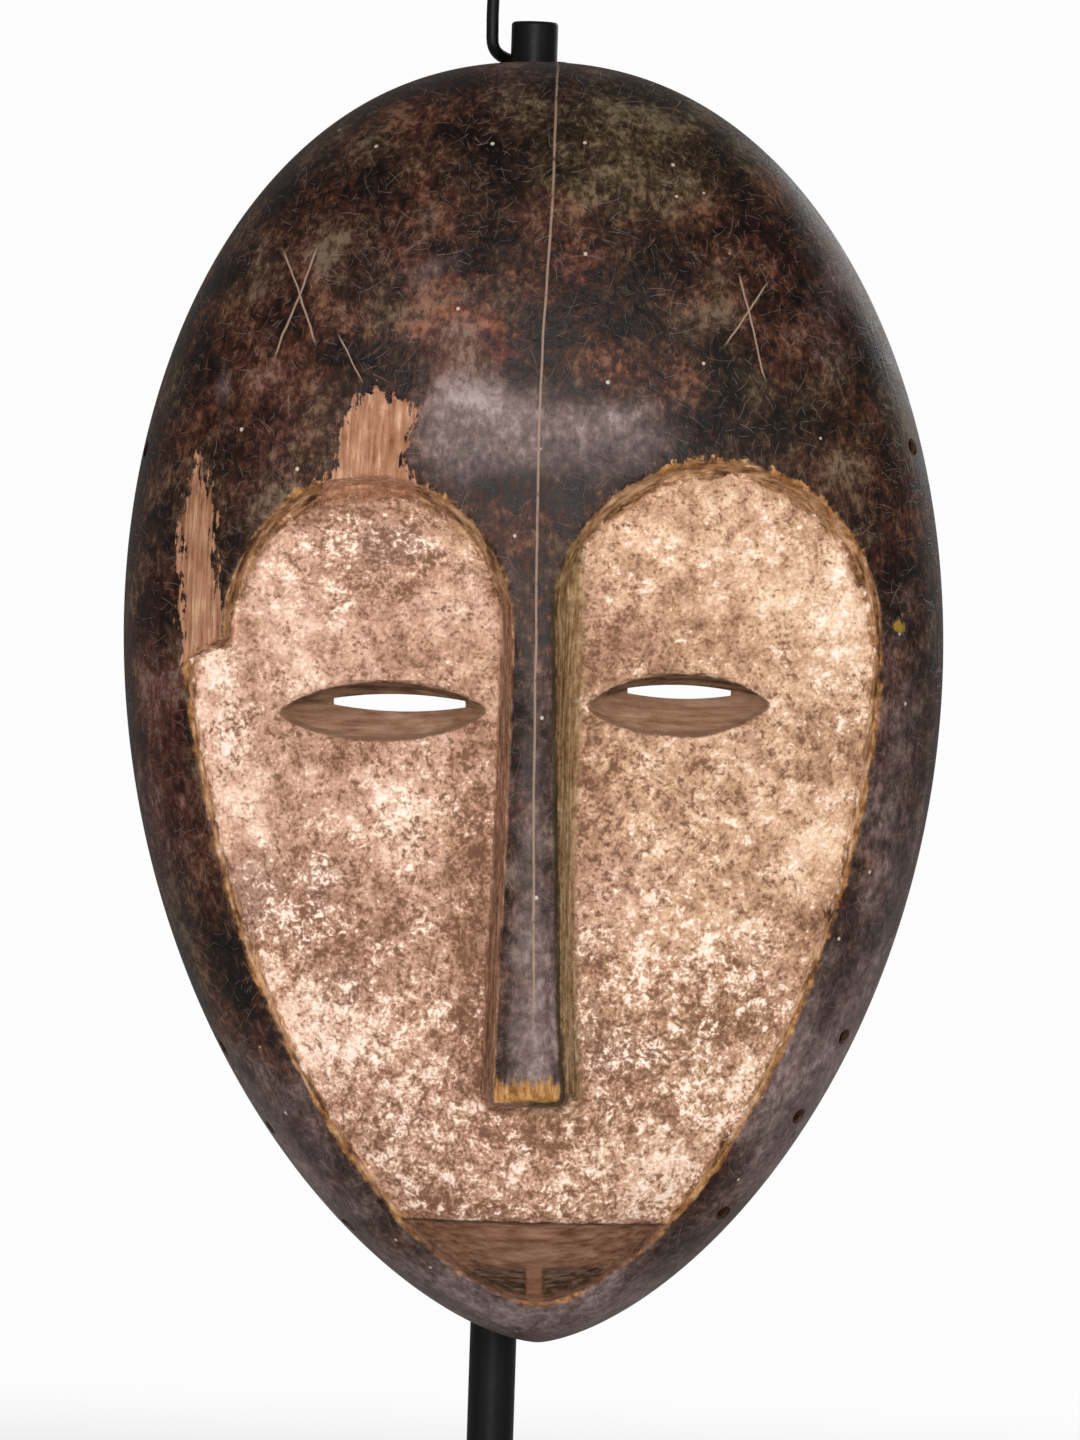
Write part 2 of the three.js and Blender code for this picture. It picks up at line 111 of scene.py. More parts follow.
# The flat front of the nose: level, left edge, right edge.
NOSE = ((190, -3.6, 3.6), (165, -4.2, 3.9), (120, -6.2, 4.1), (80, -8.6, 4.4), (58, -9.8, 5.4))
NOSE_FRONT = (57, 63)  # in front of the rim at the tip and at the top
NOSE_TIP = 58
NOSE_TOP = 176
NOSE_ROOT = (138, 27)  # where the nose's front starts to run into the brow, and over what height
NOSE_WALLS = {"tip": 1.8, "left": 3.4, "right": 5.8}  # widths of the sloping cuts down to the face
NOSE_EDGE = {"drop": 0.9, "width": 3}

# Eyes: middle x and z, half length, half height; then the slit's, which goes right through.
EYES = (
    {"socket": (-34.9, 147.9, 24.6, 7.3), "slit": (-31, 150, 15.3, 2.0)},
    {"socket": (33.4, 148.9, 21.6, 7.7), "slit": (33.6, 152.1, 12, 1.6)},
)
SOCKET_DEPTH = 6

# Surface marks: how high they stand and how long their lumps are, then what sets one kind from the next.
STROKES = {"height": 0.16, "size": 3.4, "stretch": 0.18, "seed": 3}
CLAY_LUMPS = {"height": 0.12, "on_mouth": 0.05, "size": 1.7, "seed": 4}
CLAY_SWELLS = {"share": 0.7, "size": 4.5, "seed": 5}
CHIP = {"depth": 0.9, "grain": 0.25, "size": 1.5, "stretch": 0.16, "ragged": 0.8, "seed": 6}
SKIN_WAVES = {"height": 0.35, "size": 26, "seed": 7}
SKIN_LUMPS = {"height": 0.1, "size": 6, "seed": 8}
ADZE = {"height": 2.6, "size": 13, "stretch": 0.6, "fades_over": 6, "seed": 9}
ADZE_LUMPS = {"height": 0.25, "size": 2.6, "seed": 10}
# Under the brow, a ridge and a groove run along the cut: height, how far in, half width.
BROW_RIDGE = (0.8, 5.2, 1.4)
BROW_GROOVE = (0.8, 2.7, 0.9)

FIBRE_HOLES = (27, 50, 69, 210)
HOLE = {"radius": 2, "mouth_share": (0.99, 0.972), "inner_inset": 11, "inner_from_rim": 7, "overrun": 3}
SHANK_HOLE = {"ends": (56.5, 66.3), "radius": 1.2}  # for a screw eye: how far out it starts and ends
# The hole low on the right that has broken out through the rim: a level of the outline, then where the
# break starts and ends: x from the outline there, y from the back rim, and z from that level.
BROKEN_HOLE = {"level": 48, "ends": ((-1.8, -22, 0), (5, -14, -3)), "radius": 2.2}

# Where the old surface has flaked off to raw wood, as outlines that start at the top.
CHIPS = (
    ((-43, 217), (-40, 221), (-36.5, 222), (-32, 221), (-27.5, 219), (-25.8, 215), (-28.5, 210.5),
     (-29.5, 206), (-27, 201.5), (-22, 197), (-50, 196), (-47.5, 202), (-44.2, 209)),
    ((-77.4, 208), (-76.4, 204), (-74.4, 200), (-72.6, 194), (-73.6, 186), (-72.3, 181), (-71.5, 164),
     (-81.5, 159), (-82.2, 182), (-81.6, 192), (-80.4, 199), (-78.8, 204)),
)

# Patches of colour on the skin and the clay, each a soft oval: x, z, half width, half height, strength.
REDDISH = (
    (-16, 232, 13, 13, 1), (-34, 262, 26, 14, 0.35), (8, 246, 9, 12, 0.4), (-62, 205, 8, 30, 0.5),
    (-86, 138, 9, 34, 1.0), (-58, 240, 16, 22, 0.3),
)
RUSTY = (
    (-19, 240, 6, 3, 1), (-10, 236, 5, 4, 1), (-6, 229, 3.5, 6, 0.8), (-26, 236, 5, 2.5, 0.7),
    (-8, 215, 3.5, 6, 0.6), (20, 226, 4, 3, 0.7), (12, 250, 7, 6, 0.5),
    (-62, 262, 6, 5, 0.35), (-47, 212, 4, 7, 0.4),
)
OLIVE = (
    (32, 276, 26, 16, 1), (14, 280, 16, 18, 0.6), (62, 214, 14, 14, 0.6), (78, 215, 12, 30, 0.35),
    (-6, 160, 8, 40, 0.4), (-50, 208, 12, 8, 0.4), (48, 225, 8, 8, 0.5),
)
# Grey patches. The two strong ones over the brows are a painted sheen highlight. Those on the chin and the
# lower rim are painted light on its underside. The rest are grey tone.
GREY_AND_PAINTED_LIGHT = (
    (-12, 213, 16, 12, 1.3), (18, 211, 17, 9, 1.0), (-22, 249, 13, 7, 0.4), (0, 300, 60, 8, 0.4),
    (0, 0, 60, 26, 1.5), (66, 52, 20, 40, 1.1), (-66, 36, 22, 32, 1.2),
    (84, 120, 12, 60, 0.6), (0, 70, 9, 44, 0.9),
    (70, 250, 10, 30, 0.5), (-71, 222, 3, 12, 0.5), (0, 150, 8, 34, 0.45),
)
WHITENED = (
    (73, 166, 8, 16, 1.1), (-76, 154, 8, 16, 0.8), (-70, 126, 7, 10, 0.9), (34, 97, 20, 9, 1.0),
    (66, 116, 10, 16, 0.9), (-56, 70, 12, 12, 0.8), (50, 60, 14, 14, 0.6), (-28, 128, 14, 12, 0.3),
    (36, 186, 22, 6, 0.4), (-56, 186, 12, 8, 0.4), (-8, 38, 12, 5, 0.7), (28, 44, 12, 8, 0.6),
    (-30, 74, 10, 8, 0.4), (-52, 168, 12, 12, 0.3), (54, 176, 10, 8, 0.5),
)
BROWNED = (
    (-34, 196, 26, 5, 0.7), (-14, 120, 7, 26, 0.9), (13, 130, 6, 40, 0.6), (-38, 161, 22, 4, 0.4),
    (-32, 182, 12, 8, 0.7), (-20, 34, 22, 5, 0.7), (-30, 104, 16, 10, 0.5), (34, 128, 24, 13, 0.4),
    (46, 76, 12, 6, 0.6), (64, 98, 6, 6, 1.1), (-46, 138, 22, 4, 0.5), (0, 50, 12, 6, 0.9),
    (18, 62, 8, 12, 0.5), (-44, 92, 8, 6, 0.5), (24, 166, 14, 10, 0.4),
    (60, 140, 10, 8, 0.3), (-14, 80, 5, 20, 0.7), (-38, 50, 8, 6, 0.4),
)
CRUMBLED = (
    (-58, 84, 22, 30, 0.9), (-24, 62, 30, 30, 1.0), (34, 74, 34, 30, 1.2), (10, 40, 34, 12, 1.1),
    (-30, 126, 18, 10, 0.5), (-40, 186, 24, 16, 0.9), (-70, 148, 12, 20, 0.8), (70, 166, 10, 22, 0.7),
    (36, 186, 18, 10, 0.4), (30, 160, 26, 6, 0.4),
)
STAINED = (
    (-67, 106, 8, 12, 1), (-33, 187, 11, 7, 0.8), (-48, 108, 9, 9, 0.5), (-44, 86, 6, 5, 0.7),
    (-30, 170, 18, 6, 0.4), (14, 76, 8, 20, 0.5), (60, 80, 8, 10, 0.4), (30, 70, 14, 10, 0.4),
)
EDGE_WEAR = (
    (72, 118, 8, 22, 0.9), (58, 70, 10, 22, 1.0), (40, 34, 12, 16, 1.0), (64, 196, 18, 12, 0.9),
    (40, 206, 20, 5, 0.7), (79, 150, 5, 26, 0.5), (-78, 150, 6, 20, 0.9), (-66, 92, 8, 22, 0.8),
    (-46, 50, 10, 18, 0.7), (-30, 30, 12, 10, 0.6), (-14, 200, 14, 10, 0.4), (-52, 202, 12, 6, 0.8),
    (8, 10, 9, 3, 1.2),
)
YELLOW_SPOT = ((84.4, 167, 1.3, 2, 1),)


# Layers of hair scratches: cell in mm, half length and half width in cells, how many cells, seed.
HAIRS = (
    (5.5, 0.42, 0.03, 0.75, 1.0),
    (3.4, 0.4, 0.04, 0.7, 4.0),
    (9, 0.46, 0.018, 0.6, 7.0),
    (2.4, 0.42, 0.05, 0.6, 11.0),
)

# Crossed scratches on the brow, from the first point to the second: x and z, then half the width.
SCRATCHES = (
    ((-57.5, 255.5), (-49, 231.5), 0.33),
    ((-48.8, 256), (-59.6, 228.5), 0.33),
    ((-44.7, 235.5), (-38.5, 222.5), 0.25),
    ((47.9, 249), (53.8, 222.5), 0.3),
    ((55.1, 247), (43.6, 230.5), 0.3),
)


# ---- Small helpers ----


def smooth(t):
    t = np.clip(t, 0, 1)
    return t * t * (3 - 2 * t)


def speckle(x, y, z, size, seed):
    """Soft noise from -1 to 1 at each point, with lumps of about this size in millimetres."""
    shift = Vector((seed * 17.3, seed * 5.1, seed * 11.7))
    points = zip((x / size).tolist(), (y / size).tolist(), (z / size).tolist())
    return np.array([noise.noise(Vector(p) + shift) for p in points])


def marks(x, z, kind):
    """The lumps of one kind of surface mark, from -1 to 1."""
    return speckle(x, np.zeros_like(x), z, kind["size"], kind["seed"])


def patches(x, z, ovals):
    total = np.zeros_like(x)
    for cx, cz, rx, rz, strength in ovals:
        total += strength * np.exp(-(((x - cx) / rx) ** 2) - ((z - cz) / rz) ** 2)
    return total


def inside_distance(x, z, outline):
    """Distance in millimetres to a closed outline, positive inside it."""
    ends = np.array(outline, float)
    starts = np.roll(ends, 1, axis=0)
    nearest = np.full(x.shape, 1e9)
    crossings = np.zeros(x.shape, int)
    for (ax, az), (bx, bz) in zip(starts, ends):
        dx, dz = bx - ax, bz - az
        along = np.clip(((x - ax) * dx + (z - az) * dz) / (dx * dx + dz * dz + 1e-12), 0, 1)
        nearest = np.minimum(nearest, np.hypot(x - ax - along * dx, z - az - along * dz))
        if az != bz:
            spans = (az > z) != (bz > z)
            crossings += spans & (x < ax + (z - az) * dx / dz)
    return np.where(crossings % 2 == 1, nearest, -nearest)


# ---- The shape of the mask ----


def egg(angle, share, inset=0):
    above = np.sin(angle) > 0
    power = np.where(above, CROWN_POWER, CHIN_POWER)
    half_height = np.where(above, HEIGHT - WIDEST_AT, WIDEST_AT) - inset
    across = np.cos(angle)
    x = share * (HALF_WIDTH - inset) * np.sign(across) * np.abs(across) ** power
    return x, WIDEST_AT + share * half_height * np.sin(angle)


def share_of(x, z, inset=0):
    """How far out a point lies between the middle, 0, and the outline, 1."""
    above = z > WIDEST_AT
    power = np.where(above, CROWN_POWER, CHIN_POWER)
    rise = np.abs(z - WIDEST_AT) / (np.where(above, HEIGHT - WIDEST_AT, WIDEST_AT) - inset)
    reach = np.abs(x) / (HALF_WIDTH - inset)
    low, high = rise.copy(), np.full(x.shape, 1.6)
    for _ in range(30):
        middle = (low + high) / 2
        width = middle * np.sqrt(np.clip(1 - (rise / np.maximum(middle, 1e-9)) ** 2, 0, 1)) ** power
        outside = width < reach
        low, high = np.where(outside, middle, low), np.where(outside, high, middle)
    return (low + high) / 2


def dome(share, depth=DEPTH):
    return depth * np.clip(1 - share**ROUNDNESS, 0, 1) ** FULLNESS


def face_outline():
    steps = 24
    points = []
    for cx, cz, rx, rz in reversed(ARCHES):
        points += [
            (cx + rx * math.cos(math.pi * i / steps), cz + rz * math.sin(math.pi * i / steps))
            for i in range(steps + 1)
        ]
    sides = []
    for i in range(1, steps + 1):
        drop = math.sin(i / steps * math.pi / 2)
        z = ARCHES[0][1] - (ARCHES[0][1] - FACE_BOTTOM) * drop
        sides.append((FACE_SIDE * max(1 - drop**SIDE_ROUNDNESS, 0) ** SIDE_FULLNESS, z))
    left = [(-FACE_SIDE, ARCHES[0][1] - LEFT_NOTCH)] + [(-x, z) for x, z in sides]
    return points + left + sides[-2::-1]


def nose_outline():
    return [(left, z) for z, left, _ in NOSE] + [(right, z) for z, _, right in reversed(NOSE)]


def eye_dip(x, z, eye):
    """How deep the socket is cut at a point, and how far inside the socket the point is."""
    cx, cz, half_length, half_height = eye["socket"]
    u = (x - cx) / half_length
    bow = half_height * np.clip(1 - u * u, 0, 1) ** 0.75
    slit = cz + (eye["slit"][1] - cz) * np.clip(1 - u * u, 0, 1)
    top, bottom = cz + bow, cz - bow
    from_top = np.clip((top - z) / np.maximum(top - slit, 0.3), 0, 1) ** 0.55
    from_bottom = np.clip((z - bottom) / np.maximum(slit - bottom, 0.3), 0, 1) ** 0.9
    dip = SOCKET_DEPTH * np.where(z > slit, from_top, from_bottom) * np.clip(1 - u * u, 0, 1) ** 0.5
    inside = bow - np.abs(z - cz)
    inside = np.where(np.abs(u) < 1, inside, -1 - np.abs(z - cz) - 20 * (np.abs(u) - 1))
    return dip, inside, z - slit


def measure(x, z):
    """All the distances that the carving and the finish follow, at each point."""
    field = {"x": x, "z": z, "share": share_of(x, z)}
    field["face"] = inside_distance(x, z, face_outline())
    field["nose"] = inside_distance(x, z, nose_outline())
    field["chip"] = np.maximum(*[inside_distance(x, z, chip) for chip in CHIPS])
    dips = [eye_dip(x, z, eye) for eye in EYES]
    field["dip"] = dips[0][0] + dips[1][0]
    field["socket"] = np.maximum(dips[0][1], dips[1][1])
    field["lid"] = np.where(x < 0, dips[0][2], dips[1][2])
    field["mouth"] = MOUTH_AT + MOUTH_SLOPE * x - z
    return field


def in_pocket(x, z):
    """1 in the two pockets under the mouth, 0 outside them, with narrow slopes between."""
    edge = 0.7
    off_middle = np.abs(x - POCKET["middle"])
    sides = smooth((off_middle - POCKET["half_bar"]) / edge) * smooth((POCKET["reach"] - off_middle) / 2)
    bottom = smooth((z - POCKET["bottom"] - POCKET["rise"] * x * x) / edge)
    return sides * bottom * smooth((POCKET["top"] - z) / edge)


def front_depth(field):
    """How far the carved front stands before the back rim, in millimetres."""
    x, z, share = field["x"], field["z"], field["share"]
    high = dome(share)
    up_and_down = np.clip(1 - ((z - BOWL["z"]) / BOWL["half_height"]) ** 2, 0, 1)
    across = np.clip(1 - (share / BOWL["edge"]) ** 3, 0, 1)
    floor = high - EDGE_STEP - BOWL["depth"] * up_and_down * across
    field["pocket"] = in_pocket(x, z)
    groove = np.exp(-((field["mouth"] / MOUTH_GROOVE["half_width"]) ** 2))
    step = MOUTH_STEP * smooth(field["mouth"] / MOUTH_EDGE)
    floor -= step + POCKET["depth"] * field["pocket"] + MOUTH_GROOVE["depth"] * groove
    # Long shallow tool marks across the face, and the lumps of the clay on it.
    strokes = marks(x * STROKES["stretch"], z, STROKES)
    lumps = marks(x, z, CLAY_LUMPS) + CLAY_SWELLS["share"] * marks(x, z, CLAY_SWELLS)
    lump_height = np.where(field["mouth"] > 0, CLAY_LUMPS["on_mouth"], CLAY_LUMPS["height"])
    floor += STROKES["height"] * strokes + lump_height * lumps
    under_brow = smooth((z - 150) / 30)
    for sign, (height, inwards, half_width) in ((1, BROW_RIDGE), (-1, BROW_GROOVE)):
        floor += sign * (under_brow * height * np.exp(-(((field["face"] - inwards) / half_width) ** 2)))
    surface = high + (floor - high) * smooth(field["face"] / CARVED_WALL)
    # The nose: a straight line from tip to top that runs into the brow, with its edges worn down.
    line = NOSE_FRONT[0] + (NOSE_FRONT[1] - NOSE_FRONT[0]) * (z - NOSE_TIP) / (NOSE_TOP - NOSE_TIP)
    line = line + (high - line) * smooth((z - NOSE_ROOT[0]) / NOSE_ROOT[1])
    line -= NOSE_EDGE["drop"] * (1 - smooth(field["nose"] / NOSE_EDGE["width"])) * smooth((165 - z) / 20)
    side_wall = np.where(x < -2, NOSE_WALLS["left"], NOSE_WALLS["right"])
    raised = smooth(1 + field["nose"] / np.where(z < NOSE_TIP + 1, NOSE_WALLS["tip"], side_wall))
    surface = surface + (np.maximum(line, surface) - surface) * raised
    surface -= field["dip"]
    # Raw wood where the skin has flaked off, with its grain standing.
    grain = marks(x, z * CHIP["stretch"], CHIP)
    flaked = smooth((field["chip"] + CHIP["ragged"] * grain) / CHIP["depth"])
    surface -= flaked * (CHIP["depth"] + CHIP["grain"] * grain)
    # The hand-worked skin is never quite even.
    surface += SKIN_WAVES["height"] * marks(x, z, SKIN_WAVES) + SKIN_LUMPS["height"] * marks(x, z, SKIN_LUMPS)
    return np.maximum(surface, 0)


def hollow_depth(x, z):
    """How deep the hollow is behind, with the marks of the adze that cut it."""
    depth = dome(share_of(x, z, RIM_WALL), HOLLOW_DEPTH)
    scoops = np.abs(marks(x, z * ADZE["stretch"], ADZE))
    away = np.minimum(depth, ADZE["fades_over"]) / ADZE["fades_over"]
    return depth - away * (ADZE["height"] * scoops + ADZE_LUMPS["height"] * marks(x, z, ADZE_LUMPS))


# ---- Modelling steps ----


def deselect():
    for piece in bpy.context.view_layer.objects:
        piece.select_set(False)


def pick(piece):
    deselect()
    piece.select_set(True)
    bpy.context.view_layer.objects.active = piece
    return piece


def named(piece, name, body, material):
    """Gives a finished piece its name, its material and the body that it moves with."""
    piece.name = piece.data.name = name
    piece.data.materials.clear()
    piece.data.materials.append(material)
    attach(piece, body)
    return piece


def apply_all(piece):
    pick(piece)
    for modifier in list(piece.modifiers):
        bpy.ops.object.modifier_apply(modifier=modifier.name)
    return piece


def cut_away(piece, cutter, solver):
    """Takes the cutter's shape out of a piece, and the cutter out of the scene."""
    cut = piece.modifiers.new("cut", "BOOLEAN")
    cut.operation = "DIFFERENCE"
    cut.solver = solver
    cut.object = cutter
    apply_all(piece)
    bpy.data.objects.remove(cutter)


def break_edges(piece, width, segments):
    """Rounds a piece's sharp edges over, by a width in millimetres."""
    edge = piece.modifiers.new("edge", "BEVEL")
    edge.width = width * MM
    edge.segments = segments
    edge.limit_method = "ANGLE"
    edge.angle_limit = math.radians(50)
    apply_all(piece)


def read_points(piece):
    flat = np.empty(len(piece.data.vertices) * 3)
    piece.data.vertices.foreach_get("co", flat)
    return flat.reshape(-1, 3)


def write_points(piece, points):
    piece.data.vertices.foreach_set("co", points.astype(np.float32).ravel())
    piece.data.update()


def egg_sheet(across, up, inset):
    """A grid drawn out to the egg outline: gives the piece with the share and place of its points."""
    deselect()
    bpy.ops.mesh.primitive_grid_add(x_subdivisions=across, y_subdivisions=up, size=2)
    sheet = bpy.context.object
    grid = read_points(sheet)
    u = grid[:, 0] * np.sqrt(1 - grid[:, 1] ** 2 / 2)
    v = grid[:, 1] * np.sqrt(1 - grid[:, 0] ** 2 / 2)
    radius = np.hypot(u, v)
    even = 0.75  # up to here the rows are evenly spaced, and from there they close up to the rim
    close = 1 - (1 - radius) ** 2 / (1 - even**2)
    share = np.clip(np.where(radius < even, 2 * radius / (1 + even), close), 0, 1)
    x, z = egg(np.arctan2(v, u), share, inset)
    return sheet, x, z, share


def carve_mask():
    """The front and the hollow as two sheets, joined round the rim, and then cut through."""
    front, x, z, share = egg_sheet(220, 340, 0)
    field = measure(x, z)
    field["share"] = share
    depth = np.where(share > AT_RIM, RIM_EDGE, front_depth(field))
    write_points(front, np.stack([x, -depth, z], axis=1))
    back, x, z, share = egg_sheet(80, 120, RIM_WALL)
    depth = np.where(share > AT_RIM, 0, hollow_depth(x, z))
    write_points(back, np.stack([x, -depth, z], axis=1))
    pick(front)
    back.select_set(True)
    bpy.ops.object.join()
    bpy.ops.object.mode_set(mode="EDIT")
    bpy.ops.mesh.select_mode(type="EDGE")
    bpy.ops.mesh.select_all(action="DESELECT")
    bpy.ops.mesh.select_non_manifold(extend=False, use_boundary=True, use_wire=False,
                                     use_multi_face=False, use_non_contiguous=False, use_verts=False)
    bpy.ops.mesh.bridge_edge_loops()
    bpy.ops.mesh.select_all(action="SELECT")
    bpy.ops.mesh.normals_make_consistent(inside=False)
    bpy.ops.object.mode_set(mode="OBJECT")
    cut_through(front)
    return front


def lens_cutter(eye):
    """A slit's cutter: a flat-ended lens right through the wood."""
    cx, cz, half_length, half_height = eye["slit"]
    steps = 12
    deselect()
    bpy.ops.mesh.primitive_cylinder_add(vertices=2 * steps, radius=1, depth=140, rotation=(math.pi / 2, 0, 0))
    cutter = bpy.context.object
    bpy.ops.object.transform_apply(location=False, rotation=True, scale=False)
    points = read_points(cutter)
    u = np.clip(points[:, 0] * 1.03, -1, 1)
    bow = half_height * (0.35 + 0.65 * (1 - u * u))
    points[:, 2] = cz - 0.03 * u * half_length + np.sign(np.round(points[:, 2], 4)) * bow
    points[:, 0] = cx + u * half_length
    write_points(cutter, points)
    return cutter


def rod_cutter(start, end, radius):
    """A round cutter from one point to another."""
    start, end = Vector(start), Vector(end)
    turn = (end - start).to_track_quat("Z", "Y").to_euler()
    deselect()
    bpy.ops.mesh.primitive_cylinder_add(vertices=24, radius=radius, depth=(end - start).length,
                                        location=(start + end) / 2, rotation=turn)
    bpy.ops.object.transform_apply(location=True, rotation=True, scale=False)
    return bpy.context.object


def fibre_hole(height, side):
    """The cutter for the hole that slants from the front's edge back into the hollow."""
    mouth_share = HOLE["mouth_share"][0 if side < 0 else 1]
    half_height = HEIGHT - WIDEST_AT if height > WIDEST_AT else WIDEST_AT
    angle = np.array([math.asin((height - WIDEST_AT) / half_height)])
    (x,), (z,) = egg(angle, mouth_share)
    mouth = Vector((side * x, -dome(mouth_share), z))
    (x,), (z,) = egg(angle, 1, HOLE["inner_inset"])
    inner = Vector((side * x, -HOLE["inner_from_rim"], z))
    spare = (inner - mouth).normalized() * HOLE["overrun"]
    return rod_cutter(mouth - spare, inner + spare, HOLE["radius"])


def cut_through(body):
    """The eye slits, the fibre holes round the rim, the screw eyes' holes and the broken-out hole."""
    cutters = [lens_cutter(eye) for eye in EYES]
    for side in (-1, 1):
        cutters += [fibre_hole(height, side) for height in FIBRE_HOLES]
        shank = [Vector((side * x, -EYES_FROM_RIM, EYES_ABOVE_CHIN)) for x in SHANK_HOLE["ends"]]
        cutters.append(rod_cutter(*shank, SHANK_HOLE["radius"]))
    angle = np.array([math.asin((BROKEN_HOLE["level"] - WIDEST_AT) / WIDEST_AT)])
    (x,), (z,) = egg(angle, 1)
    ends = [(x + out, y, z + up) for out, y, up in BROKEN_HOLE["ends"]]
    cutters.append(rod_cutter(*ends, BROKEN_HOLE["radius"]))
    pick(cutters[0])
    for cutter in cutters:
        cutter.select_set(True)
    bpy.ops.object.join()
    bpy.ops.object.mode_set(mode="EDIT")
    bpy.ops.mesh.select_all(action="SELECT")
    bpy.ops.mesh.remove_doubles(threshold=0.01)
    bpy.ops.mesh.dissolve_degenerate(threshold=0.01)
    bpy.ops.mesh.normals_make_consistent(inside=False)
    bpy.ops.object.mode_set(mode="OBJECT")
    cut_away(body, cutters[0], "FAST")


def mark_zones(body):
    """Writes the distances and the colour patches on the mask's points, for its finish to follow."""
    points = read_points(body)
    x, y, z = points.T
    field = measure(x, z)
    behind = y + front_depth(field)
    zones = {name: field[name] for name in ("pocket", "face", "nose", "chip", "socket", "mouth", "lid")}
    zones |= {
        "behind": np.where(y > -1.2, 3, behind),
        "midline": x - (4.2 * smooth((z - 60) / 300) + 3.6 * smooth((z - 200) / 110) - 0.6),
        "side": x,
        "level": z,
        "reddish": patches(x, z, REDDISH),
        "rusty": patches(x, z, RUSTY),
        "olive": patches(x, z, OLIVE),
        "grey_and_painted_light": patches(x, z, GREY_AND_PAINTED_LIGHT),
        "whitened": patches(x, z, WHITENED) - patches(x, z, BROWNED),
        "crumbled": patches(x, z, CRUMBLED),
        "stained": patches(x, z, STAINED),
        "edge_wear": patches(x, z, EDGE_WEAR),
        "arch": smooth((z - 150) / 45),
        "yellow_spot": patches(x, z, YELLOW_SPOT),
    }
    for name, values in zones.items():
        attribute = body.data.attributes.new(name, "FLOAT", "POINT")
        attribute.data.foreach_set("value", values.astype(np.float32))


def place(piece):
    """Moves a piece from the mask's own frame to where the mask hangs."""
    piece.data.transform(HANG)
    piece.data.update()


def smooth_shade(piece, degrees):
    pick(piece)
    bpy.ops.object.shade_smooth_by_angle(angle=math.radians(degrees))


# ---- Materials ----


def colour(hex_value):
    """An sRGB hex colour as linear RGBA."""
    parts = [int(hex_value[i : i + 2], 16) / 255 for i in (1, 3, 5)]
    return [c / 12.92 if c <= 0.04045 else ((c + 0.055) / 1.055) ** 2.4 for c in parts] + [1]


def per(size):
    """The texture scale whose pattern repeats about every so many millimetres."""
    return 1000 / size


def add(tree, kind, inputs=None, out=0, stops=None, **settings):
    """Adds a node with its settings, values and links, and gives back one of its outputs."""
    node = tree.nodes.new("ShaderNode" + kind)
    for name, value in settings.items():
        setattr(node, name, value)
    for key, value in (inputs or {}).items():
        if isinstance(value, bpy.types.NodeSocket):
            tree.links.new(value, node.inputs[key])
        else:
            node.inputs[key].default_value = value
    if stops:
        ramp = node.color_ramp
        while len(ramp.elements) < len(stops):
            ramp.elements.new(0.5)
        for element, (position, shade) in zip(ramp.elements, stops):
            element.position = position
            element.color = colour(shade) if isinstance(shade, str) else [shade] * 3 + [1]
    return node.outputs[out]


def new_material(name):
    """An empty material, its tree, and the output that gives the piece's own coordinates."""
    material = bpy.data.materials.new(name)
    material.use_nodes = True
    tree = material.node_tree
    tree.nodes.clear()
    return material, tree, add(tree, "TexCoord", out="Object")


def finish_with(tree, surface):
    output = tree.nodes.new("ShaderNodeOutputMaterial")
    tree.links.new(surface, output.inputs["Surface"])


